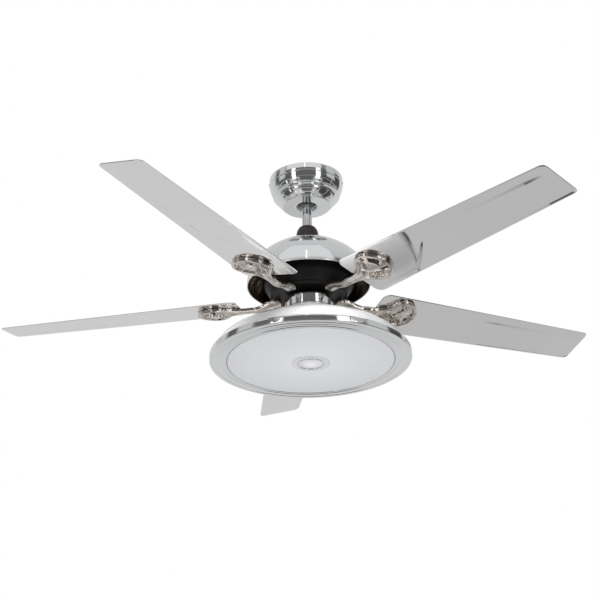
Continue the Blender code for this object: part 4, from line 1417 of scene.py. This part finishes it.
def build_room(studio):
    """A pale room with soft panels and dark drapes for mirrors, and plain white behind the fan."""
    world = bpy.data.worlds.new("studio_room")
    bpy.context.scene.world = world
    world.use_nodes = True
    tree = world.node_tree
    tree.nodes.clear()
    place = tree.nodes.new("ShaderNodeTexCoord")
    parts = tree.nodes.new("ShaderNodeSeparateXYZ")
    tree.links.new(place.outputs["Generated"], parts.inputs["Vector"])
    x, y, z = (parts.outputs[axis] for axis in "XYZ")
    azimuth = math_node(tree, "ARCTAN2", x, math_node(tree, "MULTIPLY", y, -1.0))
    azimuth = math_node(tree, "DEGREES", azimuth)
    elevation = math_node(tree, "DEGREES", math_node(tree, "ARCSINE", z))
    brightness = math_node(tree, "ADD", ROOM_BASE, 0.0)
    for _, centre, half, height, half_height, softness, value in ROOM_PATCHES:
        wide = room_mask(tree, azimuth, centre, half, softness)
        tall = room_mask(tree, elevation, height, half_height, softness)
        mask = math_node(tree, "MULTIPLY", wide, tall)
        change = math_node(tree, "SUBTRACT", value, brightness)
        change = math_node(tree, "MULTIPLY", change, mask)
        brightness = math_node(tree, "ADD", brightness, change)
    brightness = math_node(tree, "MULTIPLY", brightness, studio.room_brightness)
    rays = tree.nodes.new("ShaderNodeLightPath")
    seen = tree.nodes.new("ShaderNodeMix")
    seen.data_type = "FLOAT"
    tree.links.new(rays.outputs["Is Camera Ray"], seen.inputs["Factor"])
    tree.links.new(brightness, seen.inputs["A"])
    seen.inputs["B"].default_value = 1.0
    background = tree.nodes.new("ShaderNodeBackground")
    background.inputs["Color"].default_value = (1.0, 1.0, 1.0, 1.0)
    tree.links.new(seen.outputs["Result"], background.inputs["Strength"])
    output = tree.nodes.new("ShaderNodeOutputWorld")
    tree.links.new(background.outputs["Background"], output.inputs["Surface"])


def build_floor(colours):
    """A pale disc of floor well below the fan, smooth at its rim."""
    profile = [(radius, FLOOR_Z) for radius in (0.0, 2.0, 6.0, 14.0)]
    shape = spun(profile, 96, closed=False)
    mesh = bpy.data.meshes.new("studio_floor")
    mesh.from_pydata(shape.vertices, [], shape.faces)
    look = Finish("pale_floor", colours.floor, 0.6)
    look.tinted(look.noise(look.place(), 0.7, 2.0), 0.985)
    mesh.materials.append(look.material)
    floor = bpy.data.objects.new("studio_floor", mesh)
    bpy.context.scene.collection.objects.link(floor)
    floor.visible_glossy = False


def area_light(name, place, target, size, power):
    light = bpy.data.lights.new(name, "AREA")
    light.shape = "SQUARE"
    light.size = size
    light.energy = power
    made = bpy.data.objects.new(name, light)
    made.location = place
    made.rotation_euler = (Vector(target) - Vector(place)).to_track_quat("-Z", "Y").to_euler()
    made.visible_glossy = False
    made.visible_camera = False
    bpy.context.scene.collection.objects.link(made)
    return made


def build_camera(studio):
    heading, rise, roll = CAMERA_HEADING, CAMERA_RISE, CAMERA_ROLL
    forward = Vector((sin(heading) * cos(rise), cos(heading) * cos(rise), sin(rise)))
    right = forward.cross(Vector((0, 0, 1))).normalized()
    up = right.cross(forward)
    rolled_right = right * cos(roll) + up * sin(roll)
    rolled_up = up * cos(roll) - right * sin(roll)
    data = bpy.data.cameras.new("studio_camera")
    data.sensor_width = 36.0
    data.lens = studio.lens
    data.clip_end = 100.0
    camera = bpy.data.objects.new("studio_camera", data)
    turn = Matrix((rolled_right, rolled_up, -forward)).transposed().to_4x4()
    camera.matrix_world = Matrix.Translation(CAMERA_PLACE) @ turn
    bpy.context.scene.collection.objects.link(camera)
    bpy.context.scene.camera = camera


# ---------------------------------------------------------------- operators
class FanOperator:
    """Shared settings of the building operators"""

    bl_options = {"REGISTER", "UNDO"}

    def execute(self, context):
        for build in self.builders:
            build(context.scene.fan_sizes)
        return {"FINISHED"}


class FAN_OT_canopy(FanOperator, bpy.types.Operator):
    """Build the canopy against the ceiling"""

    bl_idname = "fan.canopy"
    bl_label = "Canopy"
    builders = (build_canopy,)


class FAN_OT_rod(FanOperator, bpy.types.Operator):
    """Build the hanger ball, the downrod and the yoke cover"""

    bl_idname = "fan.rod"
    bl_label = "Rod and yoke cover"
    builders = (build_rod, build_yoke_cover)


class FAN_OT_motor(FanOperator, bpy.types.Operator):
    """Build the dome and the black motor case inside it"""

    bl_idname = "fan.motor"
    bl_label = "Dome and motor"
    builders = (build_dome, build_motor)


class FAN_OT_blades(FanOperator, bpy.types.Operator):
    """Build the five blades"""

    bl_idname = "fan.blades"
    bl_label = "Blades"
    builders = (build_blades,)


class FAN_OT_arms(FanOperator, bpy.types.Operator):
    """Build the five blade arms and their screws"""

    bl_idname = "fan.arms"
    bl_label = "Arms and screws"
    builders = (build_arms, build_screws)


class FAN_OT_lamp(FanOperator, bpy.types.Operator):
    """Build the neck cover, lamp pan, rim, diffuser and cap"""

    bl_idname = "fan.lamp"
    bl_label = "Neck and lamp"
    builders = (build_neck, build_pan, build_rim, build_lens, build_cap)


class FAN_OT_inner_parts(bpy.types.Operator):
    """Give the bracket, motor and lamp parts inside their finishes"""

    bl_idname = "fan.inner_parts"
    bl_label = "Inner parts"
    bl_options = {"REGISTER", "UNDO"}

    def execute(self, context):
        finish_nodes()
        return {"FINISHED"}


class FAN_OT_stage(bpy.types.Operator):
    """Set up the room, floor, lights and camera"""

    bl_idname = "fan.stage"
    bl_label = "Stage"
    bl_options = {"REGISTER", "UNDO"}

    def execute(self, context):
        studio = context.scene.fan_studio
        build_room(studio)
        build_floor(context.scene.fan_colours)
        area_light("overhead_light", (-0.8, -1.6, 2.2), (0, 0, -0.3), 2.6, studio.key_power)
        area_light("floor_fill", (0.4, -1.2, FLOOR_Z + 0.1), (0, 0, -0.4), 2.8, studio.fill_power)
        build_camera(studio)
        context.scene.view_settings.view_transform = "Standard"
        return {"FINISHED"}


class FAN_PT_builder(bpy.types.Panel):
    """Lists the settings and the building steps"""

    bl_idname = "FAN_PT_builder"
    bl_label = "Ceiling fan"
    bl_space_type = "VIEW_3D"
    bl_region_type = "UI"
    bl_category = "Ceiling fan"

    def draw(self, context):
        for group in (context.scene.fan_sizes, context.scene.fan_colours, context.scene.fan_studio):
            box = self.layout.box()
            for name in group.__annotations__:
                box.prop(group, name)
        for step in STEPS:
            self.layout.operator(step.bl_idname)


STEPS = (
    FAN_OT_inner_parts,
    FAN_OT_canopy,
    FAN_OT_rod,
    FAN_OT_motor,
    FAN_OT_blades,
    FAN_OT_arms,
    FAN_OT_lamp,
    FAN_OT_stage,
)
CLASSES = (FAN_PG_sizes, FAN_PG_colours, FAN_PG_studio, *STEPS, FAN_PT_builder)


def register():
    for item in CLASSES:
        bpy.utils.register_class(item)
    bpy.types.Scene.fan_sizes = PointerProperty(type=FAN_PG_sizes)
    bpy.types.Scene.fan_colours = PointerProperty(type=FAN_PG_colours)
    bpy.types.Scene.fan_studio = PointerProperty(type=FAN_PG_studio)


def unregister():
    del bpy.types.Scene.fan_studio
    del bpy.types.Scene.fan_colours
    del bpy.types.Scene.fan_sizes
    for item in reversed(CLASSES):
        bpy.utils.unregister_class(item)


def main():
    register()
    bpy.ops.fan.inner_parts()
    bpy.ops.fan.canopy()
    bpy.ops.fan.rod()
    bpy.ops.fan.motor()
    bpy.ops.fan.blades()
    bpy.ops.fan.arms()
    bpy.ops.fan.lamp()
    bpy.ops.fan.stage()
    bpy.context.view_layer.update()


if __name__ == "__main__":
    main()
